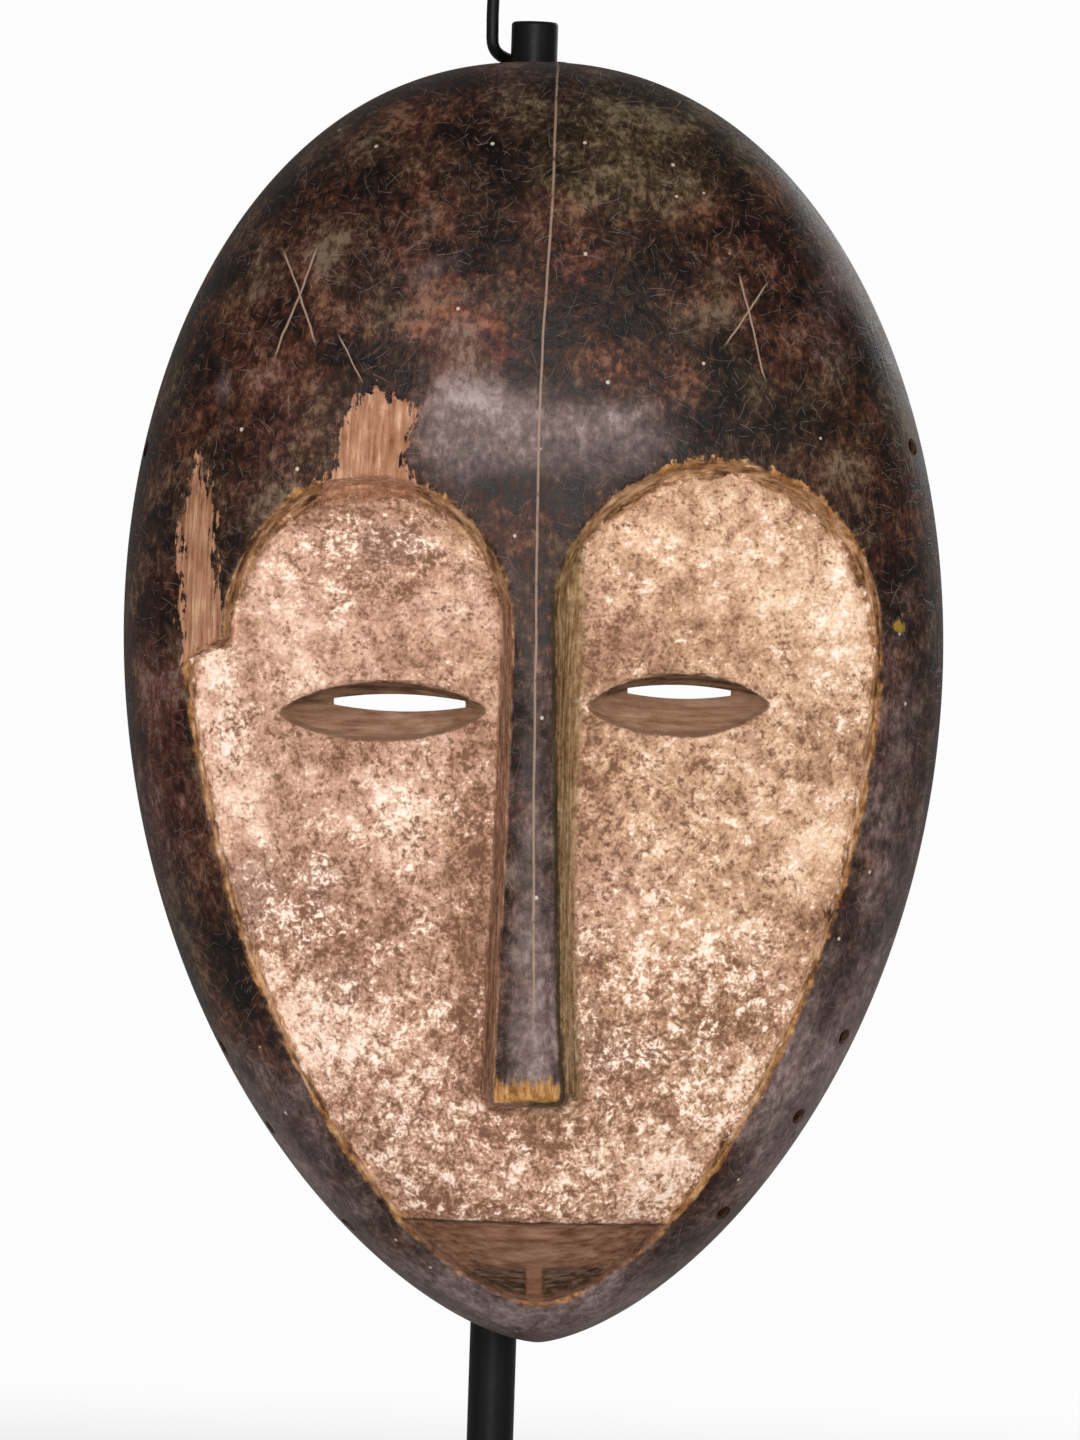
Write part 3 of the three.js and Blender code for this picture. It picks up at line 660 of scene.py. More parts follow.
def carved_hardwood():
    """Carved hardwood, hand oiled and smoked nearly black, with white clay rubbed on its face.

    The oiled skin has a low sheen and hair scratches; the clay is matt, flaked and crumbly; the raw wood
    that shows at edges and chips is matt tan with a vertical grain.
    """
    material, t, where = new_material("carved_hardwood")

    def swing(value, gain):
        """The value's departure from its middle, 0.5, times a gain."""
        return add(
            t, "Math", {0: add(t, "Math", {0: value, 1: 0.5}, operation="SUBTRACT"), 1: gain},
            operation="MULTIPLY",
        )

    def total(*values):
        result = values[0]
        for value in values[1:]:
            result = add(t, "Math", {0: result, 1: value}, operation="ADD")
        return result

    def product(*values):
        result = values[0]
        for value in values[1:]:
            result = add(t, "Math", {0: result, 1: value}, operation="MULTIPLY")
        return result

    broad = add(t, "TexNoise", {"Vector": where, "Scale": per(38), "Detail": 3, "Roughness": 0.55})
    medium = add(t, "TexNoise", {"Vector": where, "Scale": per(9), "Detail": 5, "Roughness": 0.6})
    fine = add(t, "TexNoise", {"Vector": where, "Scale": per(2.2), "Detail": 5, "Roughness": 0.65})
    ragged = swing(add(t, "TexNoise", {"Vector": where, "Scale": per(5), "Detail": 6, "Roughness": 0.7}), 2)

    # The smoked and oiled skin: near black browns that go red, olive or grey in patches. The grey patches are
    # partly grey tone, partly a painted sheen over the brows, and partly painted light on the chin and the
    # lower rim.
    grain = add(
        t, "TexNoise",
        {
            "Vector": add(t, "Mapping", {"Vector": where, "Scale": (1, 1, 0.45)}), "Scale": per(1.3),
            "Detail": 4, "Roughness": 0.65, "Distortion": 0.5,
        },
    )
    mottle = total(
        0.5,
        swing(add(t, "TexNoise", {"Vector": where, "Scale": per(17), "Detail": 6, "Roughness": 0.62}), 2.1),
        swing(fine, 1.3), swing(grain, 1.1),
    )
    skin = add(
        t, "ValToRGB", {0: mottle},
        stops=[
            (0.12, "#0a0302"), (0.34, "#20100a"), (0.5, "#341f14"), (0.66, "#493226"), (0.94, "#735d4d")
        ],
    )
    warm = add(
        t, "Mix",
        {
            0: add(
                t, "MapRange",
                {
                    "Value": add(
                        t, "TexNoise", {"Vector": where, "Scale": per(20), "Detail": 4, "Roughness": 0.55}
                    ),
                    "From Min": 0.4, "From Max": 0.6,
                },
                interpolation_type="SMOOTHSTEP",
            ),
            6: colour("#ffdccd"), 7: colour("#e9efe4"),
        },
        out=2, data_type="RGBA",
    )
    skin = add(t, "Mix", {0: 1.0, 6: skin, 7: warm}, out=2, data_type="RGBA", blend_type="MULTIPLY")
    red = add(
        t, "MapRange",
        {
            "Value": total(add(t, "Attribute", out="Fac", attribute_name="reddish"), swing(medium, 1.6)),
            "From Min": 0.2, "From Max": 1.0,
        },
        interpolation_type="SMOOTHSTEP",
    )
    skin = add(
        t, "Mix",
        {
            0: add(t, "Math", {0: red, 1: 0.8}, operation="MULTIPLY"), 6: skin,
            7: add(
                t, "ValToRGB", {0: mottle},
                stops=[(0.1, "#2a0d08"), (0.4, "#4f271d"), (0.6, "#613f35"), (0.9, "#86675f")],
            ),
        },
        out=2, data_type="RGBA",
    )
    rusty = add(
        t, "MapRange",
        {
            "Value": total(
                add(t, "Attribute", out="Fac", attribute_name="rusty"), swing(fine, 2.4),
                swing(medium, 1.6),
            ),
            "From Min": 0.3, "From Max": 1.1,
        },
        interpolation_type="SMOOTHSTEP",
    )
    skin = add(
        t, "Mix",
        {
            0: add(t, "Math", {0: rusty, 1: 0.6}, operation="MULTIPLY"), 6: skin,
            7: add(
                t, "ValToRGB", {0: mottle}, stops=[(0.2, "#3c1509"), (0.5, "#66301a"), (0.8, "#8f563a")]
            ),
        },
        out=2, data_type="RGBA",
    )
    olive = add(
        t, "MapRange",
        {
            "Value": total(add(t, "Attribute", out="Fac", attribute_name="olive"), swing(medium, 1.6)),
            "From Min": 0.15, "From Max": 1.0,
        },
        interpolation_type="SMOOTHSTEP",
    )
    skin = add(
        t, "Mix",
        {
            0: add(t, "Math", {0: olive, 1: 0.75}, operation="MULTIPLY"), 6: skin,
            7: add(
                t, "ValToRGB", {0: mottle},
                stops=[(0.1, "#0f0902"), (0.4, "#2b2012"), (0.6, "#403522"), (0.9, "#6f634b")],
            ),
        },
        out=2, data_type="RGBA",
    )
    # Grey patches, partly grey tone and partly painted light: a painted sheen over the brows, and painted
    # brightening on the chin and the lower rim.
    grey = add(
        t, "MapRange",
        {
            "Value": total(add(t, "Attribute", out="Fac", attribute_name="grey_and_painted_light"), swing(medium, 1.1)),
            "From Min": 0.15, "From Max": 1.2,
        },
        interpolation_type="SMOOTHSTEP",
    )
    skin = add(
        t, "Mix",
        {
            0: add(t, "Math", {0: grey, 1: 0.85}, operation="MULTIPLY"), 6: skin,
            7: add(
                t, "ValToRGB", {0: mottle},
                stops=[(0.05, "#4a3837"), (0.4, "#715d5a"), (0.6, "#887472"), (0.95, "#aa9a9a")],
            ),
        },
        out=2, data_type="RGBA",
    )

    # Hair scratches: in each cell of a loose pattern, one short line at its own angle.
    hairs = None
    for size, half_length, half_width, rate, seed in HAIRS:
        moved = add(t, "Mapping", {"Vector": where, "Location": (seed, seed, seed), "Scale": [per(size)] * 3})
        cells = {"Vector": moved, "Scale": 1.0, "Randomness": 1.0}
        middle = add(t, "TexVoronoi", cells, out="Position")
        lot = add(t, "SeparateColor", {0: middle.node.outputs["Color"]})
        offset = add(t, "VectorMath", {0: moved, 1: middle}, operation="SUBTRACT")
        turned = add(
            t, "VectorRotate",
            {"Vector": offset, "Angle": add(t, "Math", {0: lot, 1: 2 * math.pi}, operation="MULTIPLY")},
            rotation_type="Y_AXIS",
        )
        along = add(t, "Math", {0: add(t, "SeparateXYZ", {0: turned})}, operation="ABSOLUTE")
        across = along.node.inputs[0].links[0].from_node.outputs[2]
        off = add(
            t, "Math",
            {0: add(t, "Math", {0: across, 1: product(along, along, 0.3)}, operation="SUBTRACT")},
            operation="ABSOLUTE",
        )
        line = product(
            add(
                t, "MapRange", {"Value": off, "From Min": half_width, "From Max": half_width * 0.3},
                interpolation_type="SMOOTHSTEP",
            ),
            add(
                t, "MapRange", {"Value": along, "From Min": half_length, "From Max": half_length * 0.6},
                interpolation_type="SMOOTHSTEP",
            ),
            add(
                t, "MapRange",
                {"Value": lot.node.outputs[1], "From Min": 1 - rate, "From Max": 1.15 - rate},
                interpolation_type="SMOOTHSTEP",
            ),
        )
        hairs = line if hairs is None else add(t, "Math", {0: hairs, 1: line}, operation="MAXIMUM")
    hairs = product(
        hairs,
        add(
            t, "MapRange", {"Value": medium, "From Min": 0.3, "From Max": 0.6},
            interpolation_type="SMOOTHSTEP",
        ),
    )
    skin = add(
        t, "Mix",
        {0: add(t, "Math", {0: hairs, 1: 0.34}, operation="MULTIPLY"), 6: skin, 7: colour("#8d7d72")},
        out=2, data_type="RGBA",
    )

    # Specks of old clay caught in the skin.
    dots = {"Vector": where, "Scale": per(7), "Randomness": 1.0}
    near = add(t, "TexVoronoi", dots, out="Distance")
    dot_lot = add(t, "SeparateColor", {0: near.node.outputs["Color"]})
    specks = product(
        add(
            t, "MapRange", {"Value": near, "From Min": 0.085, "From Max": 0.05},
            interpolation_type="SMOOTHSTEP",
        ),
        add(
            t, "MapRange", {"Value": dot_lot, "From Min": 0.6, "From Max": 0.65},
            interpolation_type="SMOOTHSTEP",
        ),
    )
    skin = add(
        t, "Mix",
        {0: add(t, "Math", {0: specks, 1: 0.8}, operation="MULTIPLY"), 6: skin, 7: colour("#cbbfae")},
        out=2, data_type="RGBA",
    )

    # Raw wood: tan, with a fine vertical grain. Its fibres are drawn 1 mm wide, coarse enough to show.
    fibre = add(
        t, "TexNoise",
        {
            "Vector": add(t, "Mapping", {"Vector": where, "Scale": (1, 1, 0.07)}), "Scale": per(1.0),
            "Detail": 4, "Roughness": 0.6,
        },
    )
    raw = add(
        t, "ValToRGB", {0: total(0.5, swing(fibre, 1.6), swing(medium, 1.0))},
        stops=[(0.1, "#75482f"), (0.4, "#9a6b50"), (0.6, "#ab7d61"), (0.9, "#cda384")],
    )

    # The clay: a tan wash over the wood, with crisp crumbs of cream on it and dark pits through it. It is
    # dragged sideways over the eyes, and thickest low down and at the outer edges.
    crumbled = add(
        t, "MapRange",
        {
            "Value": total(add(t, "Attribute", out="Fac", attribute_name="crumbled"), swing(medium, 2)),
            "From Min": 0.1, "From Max": 0.9,
        },
        interpolation_type="SMOOTHSTEP",
    )
    flake = add(
        t, "TexNoise",
        {"Vector": where, "Scale": per(4.2), "Detail": 6, "Roughness": 0.7, "Distortion": 0.4},
    )
    crumbs = add(
        t, "TexNoise",
        {"Vector": where, "Scale": per(2.0), "Detail": 6, "Roughness": 0.66, "Distortion": 0.7},
    )
    over_eyes = product(
        add(
            t, "MapRange",
            {
                "Value": add(t, "Attribute", out="Fac", attribute_name="level"), "From Min": 150,
                "From Max": 175,
            },
            interpolation_type="SMOOTHSTEP",
        ),
        0.7,
    )
    dragged = add(
        t, "TexNoise",
        {
            "Vector": add(t, "Mapping", {"Vector": where, "Scale": (0.42, 1, 1)}), "Scale": per(1.7),
            "Detail": 5, "Roughness": 0.65, "Distortion": 0.9,
        },
    )
    crumbs = add(t, "Mix", {0: over_eyes, 2: crumbs, 3: dragged})
    grit = add(t, "TexNoise", {"Vector": where, "Scale": per(0.9), "Detail": 4, "Roughness": 0.65})
    wash_tone = total(
        0.5, swing(flake, 1.4), swing(grit, 0.9), swing(medium, 0.8), swing(broad, 0.8),
        product(add(t, "Attribute", out="Fac", attribute_name="whitened"), 0.26),
    )
    clay = add(
        t, "ValToRGB", {0: wash_tone},
        stops=[(0.1, "#7e5d49"), (0.35, "#ac8872"), (0.5, "#c39e88"), (0.65, "#d7b6a0"), (0.9, "#f0d6c2")],
    )
    stained = add(
        t, "MapRange",
        {
            "Value": total(add(t, "Attribute", out="Fac", attribute_name="stained"), swing(medium, 1.5)),
            "From Min": 0.2, "From Max": 0.9,
        },
        interpolation_type="SMOOTHSTEP",
    )
    clay = add(t, "Mix", {0: product(stained, 0.5), 6: clay, 7: colour("#a18a80")}, out=2, data_type="RGBA")
    sunny = add(
        t, "MapRange",
        {
            "Value": total(
                product(add(t, "Attribute", out="Fac", attribute_name="side"), 0.012),
                swing(
                    add(t, "TexNoise", {"Vector": where, "Scale": per(30), "Detail": 3, "Roughness": 0.55}),
                    3,
                ),
            ),
            "From Min": -0.4, "From Max": 0.6,
        },
        interpolation_type="SMOOTHSTEP",
    )
    tint = add(t, "Mix", {0: sunny, 6: colour("#fff5f1"), 7: colour("#fff8ea")}, out=2, data_type="RGBA")
    clay = add(t, "Mix", {0: 1.0, 6: clay, 7: tint}, out=2, data_type="RGBA", blend_type="MULTIPLY")
    pitted = total(
        swing(crumbs, -2.0), swing(grit, -1.0), swing(flake, -0.8),
        product(add(t, "Attribute", out="Fac", attribute_name="whitened"), -0.15), product(crumbled, 0.08),
    )
    clay = add(
        t, "Mix",
        {
            0: product(
                add(
                    t, "MapRange", {"Value": pitted, "From Min": 0.02, "From Max": 0.36},
                    interpolation_type="SMOOTHSTEP",
                ),
                0.85,
            ),
            6: clay, 7: colour("#6f4c38"),
        },
        out=2, data_type="RGBA",
    )
    thick = total(
        swing(crumbs, 2.0), swing(grit, 1.0), swing(flake, 1.2), swing(medium, 0.7),
        product(crumbled, 0.13), product(add(t, "Attribute", out="Fac", attribute_name="whitened"), 0.15),
        -0.07,
    )
    clay = add(
        t, "Mix",
        {
            0: add(
                t, "MapRange", {"Value": thick, "From Min": 0.17, "From Max": 0.3},
                interpolation_type="SMOOTHSTEP",
            ),
            6: clay,
            7: add(
                t, "ValToRGB", {0: thick}, stops=[(0.2, "#edcdb8"), (0.45, "#fce5d3"), (0.8, "#fff8f0")]
            ),
        },
        out=2, data_type="RGBA",
    )
    cover = total(0.5, swing(crumbs, 1.6), swing(flake, 0.8))

    # Where the clay gives way: first to the bare wood cut along the arches, which shows the strokes of the
    # knife as lines that follow the edge.
    face = add(t, "Attribute", out="Fac", attribute_name="face")
    nose = add(t, "Attribute", out="Fac", attribute_name="nose")
    band = total(face, product(add(t, "Attribute", out="Fac", attribute_name="arch"), -1.9), -0.6)
    rings = add(
        t, "TexNoise",
        {
            "Vector": add(
                t, "CombineXYZ",
                {
                    0: face, 1: product(add(t, "Attribute", out="Fac", attribute_name="side"), 0.16),
                    2: product(add(t, "Attribute", out="Fac", attribute_name="level"), 0.16),
                },
            ),
            "Scale": 0.8, "Detail": 4.0, "Roughness": 0.65,
        },
    )
    bare = add(
        t, "ValToRGB", {0: total(0.5, swing(rings, 2.4), swing(fine, 1.0), swing(medium, 0.8))},
        stops=[(0.1, "#452b19"), (0.35, "#805a3c"), (0.6, "#a67e5b"), (0.9, "#d0aa86")],
    )
    clayed = add(
        t, "MapRange",
        {"Value": total(band, swing(flake, 7), swing(crumbs, 3)), "From Min": 0.5, "From Max": 1.7},
        interpolation_type="SMOOTHSTEP",
    )
    cut_face = add(t, "Mix", {0: clayed, 6: bare, 7: clay}, out=2, data_type="RGBA")

    # The mouth: bare brown wood, its pockets darkened with painted shade, under a dark line of painted shadow
    # along the clay's step.
    below = add(
        t, "MapRange",
        {
            "Value": total(add(t, "Attribute", out="Fac", attribute_name="mouth"), product(ragged, 0.8)),
            "From Min": -0.2, "From Max": 0.5,
        },
        interpolation_type="SMOOTHSTEP",
    )
    mouth_grain = total(
        0.5,
        swing(
            add(
                t, "TexNoise",
                {
                    "Vector": add(t, "Mapping", {"Vector": where, "Scale": (0.1, 1, 1)}), "Scale": per(1.2),
                    "Detail": 4, "Roughness": 0.6,
                },
            ),
            1.6,
        ),
        swing(medium, 0.8),
    )
    mouth = add(
        t, "ValToRGB", {0: mouth_grain},
        stops=[(0.1, "#50301f"), (0.4, "#734f3c"), (0.6, "#82604c"), (0.9, "#9a7661")],
    )
    # The pockets' darker, streaked colour is painted shade in the recesses.
    slats = total(
        0.5,
        swing(
            add(
                t, "TexNoise",
                {
                    "Vector": add(t, "Mapping", {"Vector": where, "Scale": (0.08, 1, 1)}),
                    "Scale": per(0.9), "Detail": 3, "Roughness": 0.6,
                },
            ),
            3.2,
        ),
        swing(fine, 1),
    )
    mouth = add(
        t, "Mix",
        {
            0: product(add(t, "Attribute", out="Fac", attribute_name="pocket"), 0.85), 6: mouth,
            7: add(t, "ValToRGB", {0: slats}, stops=[(0.2, "#2f1f16"), (0.5, "#503c2f"), (0.8, "#6f5848")]),
        },
        out=2, data_type="RGBA",
    )
    off_bar = add(
        t, "Math",
        {
            0: add(
                t, "Math", {0: add(t, "Attribute", out="Fac", attribute_name="side"), 1: -POCKET["middle"]},
                operation="ADD",
            ),
        },
        operation="ABSOLUTE",
    )
    bar = product(
        add(
            t, "MapRange", {"Value": off_bar, "From Min": 2.2, "From Max": 1.4},
            interpolation_type="SMOOTHSTEP",
        ),
        add(
            t, "MapRange",
            {
                "Value": add(t, "Attribute", out="Fac", attribute_name="level"), "From Min": 20,
                "From Max": 18.5,
            },
            interpolation_type="SMOOTHSTEP",
        ),
    )
    mouth = add(
        t, "Mix",
        {0: add(t, "Math", {0: bar, 1: 0.4}, operation="MULTIPLY"), 6: mouth, 7: colour("#93694f")}, out=2,
        data_type="RGBA",
    )
    # A dark line along the clay's lower edge: painted shadow under the step.
    wavy = total(add(t, "Attribute", out="Fac", attribute_name="mouth"), product(ragged, 0.5))
    step_shadow = product(
        add(
            t, "MapRange", {"Value": wavy, "From Min": -0.7, "From Max": -0.1},
            interpolation_type="SMOOTHSTEP",
        ),
        add(
            t, "MapRange", {"Value": wavy, "From Min": 1.0, "From Max": 0.3},
            interpolation_type="SMOOTHSTEP",
        ),
        0.75,
    )
    mouth = add(t, "Mix", {0: step_shadow, 6: mouth, 7: colour("#372113")}, out=2, data_type="RGBA")
    cut_face = add(t, "Mix", {0: below, 6: cut_face, 7: mouth}, out=2, data_type="RGBA")

    # The eye sockets: bare brown wood, with painted shade under the lid, just below the slit, and along the
    # lower lip.
    hollowed = total(
        add(t, "Attribute", out="Fac", attribute_name="socket"), product(ragged, 0.9), swing(crumbs, 1.2)
    )
    in_socket = add(
        t, "MapRange", {"Value": hollowed, "From Min": 0.0, "From Max": 0.6},
        interpolation_type="SMOOTHSTEP",
    )
    socket = add(
        t, "ValToRGB", {0: mouth_grain},
        stops=[(0.1, "#6b4832"), (0.4, "#84614b"), (0.6, "#927059"), (0.9, "#a98771")],
    )
    # Painted shade: darker just below the slit.
    socket = add(
        t, "Mix",
        {
            0: product(
                add(
                    t, "MapRange",
                    {
                        "Value": add(t, "Attribute", out="Fac", attribute_name="lid"), "From Min": -5,
                        "From Max": 0,
                    },
                    interpolation_type="SMOOTHSTEP",
                ),
                0.5,
            ),
            6: socket, 7: colour("#6a4c37"),
        },
        out=2, data_type="RGBA",
    )
    # Painted shade above the slit, under the lid.
    socket = add(
        t, "Mix",
        {
            0: add(
                t, "MapRange",
                {
                    "Value": add(t, "Attribute", out="Fac", attribute_name="lid"), "From Min": 0.4,
                    "From Max": 1.6,
                },
                interpolation_type="SMOOTHSTEP",
            ),
            6: socket, 7: add(t, "ValToRGB", {0: mouth_grain}, stops=[(0.2, "#3c271a"), (0.8, "#7a5a44")]),
        },
        out=2, data_type="RGBA",
    )
    lower_lip = product(
        add(
            t, "MapRange", {"Value": hollowed, "From Min": 0.1, "From Max": 0.6},
            interpolation_type="SMOOTHSTEP",
        ),
        add(
            t, "MapRange", {"Value": hollowed, "From Min": 1.9, "From Max": 1.2},
            interpolation_type="SMOOTHSTEP",
        ),
        add(
            t, "MapRange",
            {"Value": add(t, "Attribute", out="Fac", attribute_name="lid"), "From Min": -1, "From Max": -3},
            interpolation_type="SMOOTHSTEP",
        ),
    )
    socket = add(
        t, "Mix",
        {0: add(t, "Math", {0: lower_lip, 1: 0.5}, operation="MULTIPLY"), 6: socket, 7: colour("#5f4532")},
        out=2, data_type="RGBA",
    )
    cut_face = add(t, "Mix", {0: in_socket, 6: cut_face, 7: socket}, out=2, data_type="RGBA")

    # The nose's flanks: streaked bare wood, and a dark line of painted shadow along the right one.
    flank = total(nose, product(ragged, 1.6))
    on_right = add(
        t, "MapRange",
        {
            "Value": add(t, "Attribute", out="Fac", attribute_name="side"), "From Min": -2.5,
            "From Max": -1.5,
        },
        interpolation_type="SMOOTHSTEP",
    )
    above_tip = add(
        t, "MapRange",
        {"Value": add(t, "Attribute", out="Fac", attribute_name="level"), "From Min": 50, "From Max": 62},
        interpolation_type="SMOOTHSTEP",
    )
    streaks = total(0.5, swing(fibre, 1.8), swing(fine, 1.2))
    upper = product(
        add(
            t, "MapRange",
            {
                "Value": add(t, "Attribute", out="Fac", attribute_name="level"), "From Min": 110,
                "From Max": 165,
            },
            interpolation_type="SMOOTHSTEP",
        ),
        3.0,
    )
    right_flank = product(
        add(
            t, "MapRange", {"Value": total(flank, upper), "From Min": -6.4, "From Max": -3.6},
            interpolation_type="SMOOTHSTEP",
        ),
        on_right, above_tip,
    )
    left_flank = product(
        add(
            t, "MapRange", {"Value": flank, "From Min": -4.2, "From Max": -2.6},
            interpolation_type="SMOOTHSTEP",
        ),
        add(t, "Math", {0: 1.0, 1: on_right}, operation="SUBTRACT"), above_tip,
    )
    cut_face = add(
        t, "Mix",
        {
            0: add(t, "Math", {0: right_flank, 1: 0.88}, operation="MULTIPLY"), 6: cut_face,
            7: add(
                t, "ValToRGB", {0: streaks},
                stops=[(0.1, "#452c10"), (0.4, "#745733"), (0.6, "#8f7450"), (0.9, "#b79b72")],
            ),
        },
        out=2, data_type="RGBA",
    )
    cut_face = add(
        t, "Mix",
        {
            0: add(t, "Math", {0: left_flank, 1: 0.85}, operation="MULTIPLY"), 6: cut_face,
            7: add(
                t, "ValToRGB", {0: streaks},
                stops=[(0.1, "#4e2d1a"), (0.4, "#734c36"), (0.6, "#8d664e"), (0.9, "#c0937a")],
            ),
        },
        out=2, data_type="RGBA",
    )
    shadow_line = product(
        add(
            t, "MapRange", {"Value": flank, "From Min": -1.9, "From Max": -1.0},
            interpolation_type="SMOOTHSTEP",
        ),
        on_right, above_tip,
        add(
            t, "MapRange",
            {
                "Value": add(t, "Attribute", out="Fac", attribute_name="level"), "From Min": 180,
                "From Max": 172,
            },
            interpolation_type="SMOOTHSTEP",
        ),
    )
    cut_face = add(
        t, "Mix",
        {
            0: add(t, "Math", {0: shadow_line, 1: 0.85}, operation="MULTIPLY"), 6: cut_face,
            7: colour("#1e140c"),
        },
        out=2, data_type="RGBA",
    )

    # The dark front of the nose, worn to splintered bare wood at its tip.
    splinters = add(
        t, "TexNoise",
        {
            "Vector": add(t, "Mapping", {"Vector": where, "Scale": (1, 1, 0.2)}), "Scale": per(1.3),
            "Detail": 4, "Roughness": 0.65, "Distortion": 0.4,
        },
    )
    on_nose = add(
        t, "MapRange", {"Value": total(nose, product(ragged, 0.7)), "From Min": -0.5, "From Max": 0.3},
        interpolation_type="SMOOTHSTEP",
    )
    tip = product(
        add(
            t, "MapRange",
            {
                "Value": total(
                    add(t, "Attribute", out="Fac", attribute_name="level"), product(ragged, 3),
                    swing(splinters, 8),
                ),
                "From Min": 63.5, "From Max": 61,
            },
            interpolation_type="SMOOTHSTEP",
        ),
        on_nose,
    )
    front = add(
        t, "Mix",
        {
            0: tip, 6: skin,
            7: add(
                t, "ValToRGB", {0: streaks}, stops=[(0.1, "#6b3d1c"), (0.5, "#a4753f"), (0.9, "#c99a68")]
            ),
        },
        out=2, data_type="RGBA",
    )
    outside = add(
        t, "MapRange", {"Value": total(face, product(ragged, 1.2)), "From Min": 0.5, "From Max": -0.3},
        interpolation_type="SMOOTHSTEP",
    )
    off_face = add(t, "Math", {0: outside, 1: on_nose}, operation="MAXIMUM")
    whole = add(t, "Mix", {0: off_face, 6: cut_face, 7: front}, out=2, data_type="RGBA")

    # The worn line along the edge of the cut.
    rough_face = total(
        face, product(ragged, 1.3),
        product(swing(fine, 5), add(t, "Attribute", out="Fac", attribute_name="arch")),
    )
    edge = product(
        add(
            t, "MapRange", {"Value": rough_face, "From Min": -0.9, "From Max": -0.3},
            interpolation_type="SMOOTHSTEP",
        ),
        add(
            t, "MapRange",
            {
                "Value": total(
                    rough_face, product(add(t, "Attribute", out="Fac", attribute_name="arch"), -0.5)
                ),
                "From Min": 0.9, "From Max": 0.3,
            },
            interpolation_type="SMOOTHSTEP",
        ),
        add(t, "Math", {0: 1.0, 1: on_nose}, operation="SUBTRACT"),
    )
    worn = product(
        edge,
        add(
            t, "MapRange",
            {
                "Value": total(
                    add(t, "Attribute", out="Fac", attribute_name="edge_wear"),
                    swing(
                        add(
                            t, "TexNoise",
                            {"Vector": where, "Scale": per(6), "Detail": 5, "Roughness": 0.7},
                        ),
                        4,
                    ),
                ),
                "From Min": 0.2, "From Max": 0.9,
            },
            interpolation_type="SMOOTHSTEP",
        ),
    )
    whole = add(
        t, "Mix",
        {
            0: add(t, "Math", {0: worn, 1: 0.85}, operation="MULTIPLY"), 6: whole,
            7: add(
                t, "ValToRGB", {0: total(0.5, swing(fine, 2.4))},
                stops=[(0.1, "#5c3416"), (0.5, "#9a6737"), (0.9, "#c99c6a")],
            ),
        },
        out=2, data_type="RGBA",
    )
    whole = add(
        t, "Mix",
        {
            0: add(
                t, "MapRange",
                {
                    "Value": total(
                        add(t, "Attribute", out="Fac", attribute_name="yellow_spot"), swing(fine, 2)
                    ),
                    "From Min": 0.4, "From Max": 0.7,
                },
                interpolation_type="SMOOTHSTEP",
            ),
            6: whole, 7: colour("#94742c"),
        },
        out=2, data_type="RGBA",
    )

    # Flaked places, ragged along the grain.
    chip_edge = total(
        add(t, "Attribute", out="Fac", attribute_name="chip"), swing(splinters, 11),
        swing(add(t, "TexNoise", {"Vector": where, "Scale": per(2.2), "Detail": 4, "Roughness": 0.7}), 6),
        -0.5,
    )
    chipped = add(
        t, "MapRange", {"Value": chip_edge, "From Min": -0.3, "From Max": 0.3},
        interpolation_type="SMOOTHSTEP",
    )
    whole = add(t, "Mix", {0: chipped, 6: whole, 7: raw}, out=2, data_type="RGBA")

    # The incised middle line, and the crossed scratches on the brow.
    line = add(
        t, "Math",
        {
            0: total(
                add(t, "Attribute", out="Fac", attribute_name="midline"),
                swing(
                    add(t, "TexNoise", {"Vector": where, "Scale": per(30), "Detail": 2, "Roughness": 0.55}),
                    1.2,
                ),
            ),
        },
        operation="ABSOLUTE",
    )
    cut_line = product(
        add(
            t, "MapRange", {"Value": line, "From Min": 0.42, "From Max": 0.16},
            interpolation_type="SMOOTHSTEP",
        ),
        add(
            t, "MapRange",
            {
                "Value": add(t, "Attribute", out="Fac", attribute_name="level"), "From Min": 62,
                "From Max": 90,
            },
            interpolation_type="SMOOTHSTEP",
        ),
        add(
            t, "MapRange",
            {
                "Value": add(
                    t, "TexNoise", {"Vector": where, "Scale": per(3), "Detail": 3, "Roughness": 0.55}
                ),
                "From Min": 0.22, "From Max": 0.42,
            },
            interpolation_type="SMOOTHSTEP",
        ),
    )
    scratches = add(t, "Math", {0: cut_line, 1: 0.8}, operation="MULTIPLY")
    wander = swing(
        add(t, "TexNoise", {"Vector": where, "Scale": per(11), "Detail": 2, "Roughness": 0.55}), 0.0016
    )
    for start, end, width in SCRATCHES:
        a, b = HANG @ Vector((start[0], 0, start[1])), HANG @ Vector((end[0], 0, end[1]))
        run = Vector((b.x - a.x, 0, b.z - a.z))
        length = run.length
        run.normalize()
        square = Vector((-run.z, 0, run.x))
        away = add(t, "VectorMath", {0: where, 1: square}, out="Value", operation="DOT_PRODUCT")
        away = add(t, "Math", {0: total(away, -a.dot(square), wander)}, operation="ABSOLUTE")
        along = add(t, "VectorMath", {0: where, 1: run}, out="Value", operation="DOT_PRODUCT")
        along = total(along, -a.dot(run))
        ends = product(
            add(
                t, "MapRange", {"Value": along, "From Min": 0.0, "From Max": 0.003},
                interpolation_type="SMOOTHSTEP",
            ),
            add(
                t, "MapRange", {"Value": along, "From Min": length, "From Max": length - 0.004},
                interpolation_type="SMOOTHSTEP",
            ),
        )
        scratches = add(
            t, "Math",
            {
                0: scratches,
                1: product(
                    add(
                        t, "MapRange",
                        {"Value": away, "From Min": width * MM, "From Max": width * 0.35 * MM},
                        interpolation_type="SMOOTHSTEP",
                    ),
                    ends,
                ),
            },
            operation="MAXIMUM",
        )
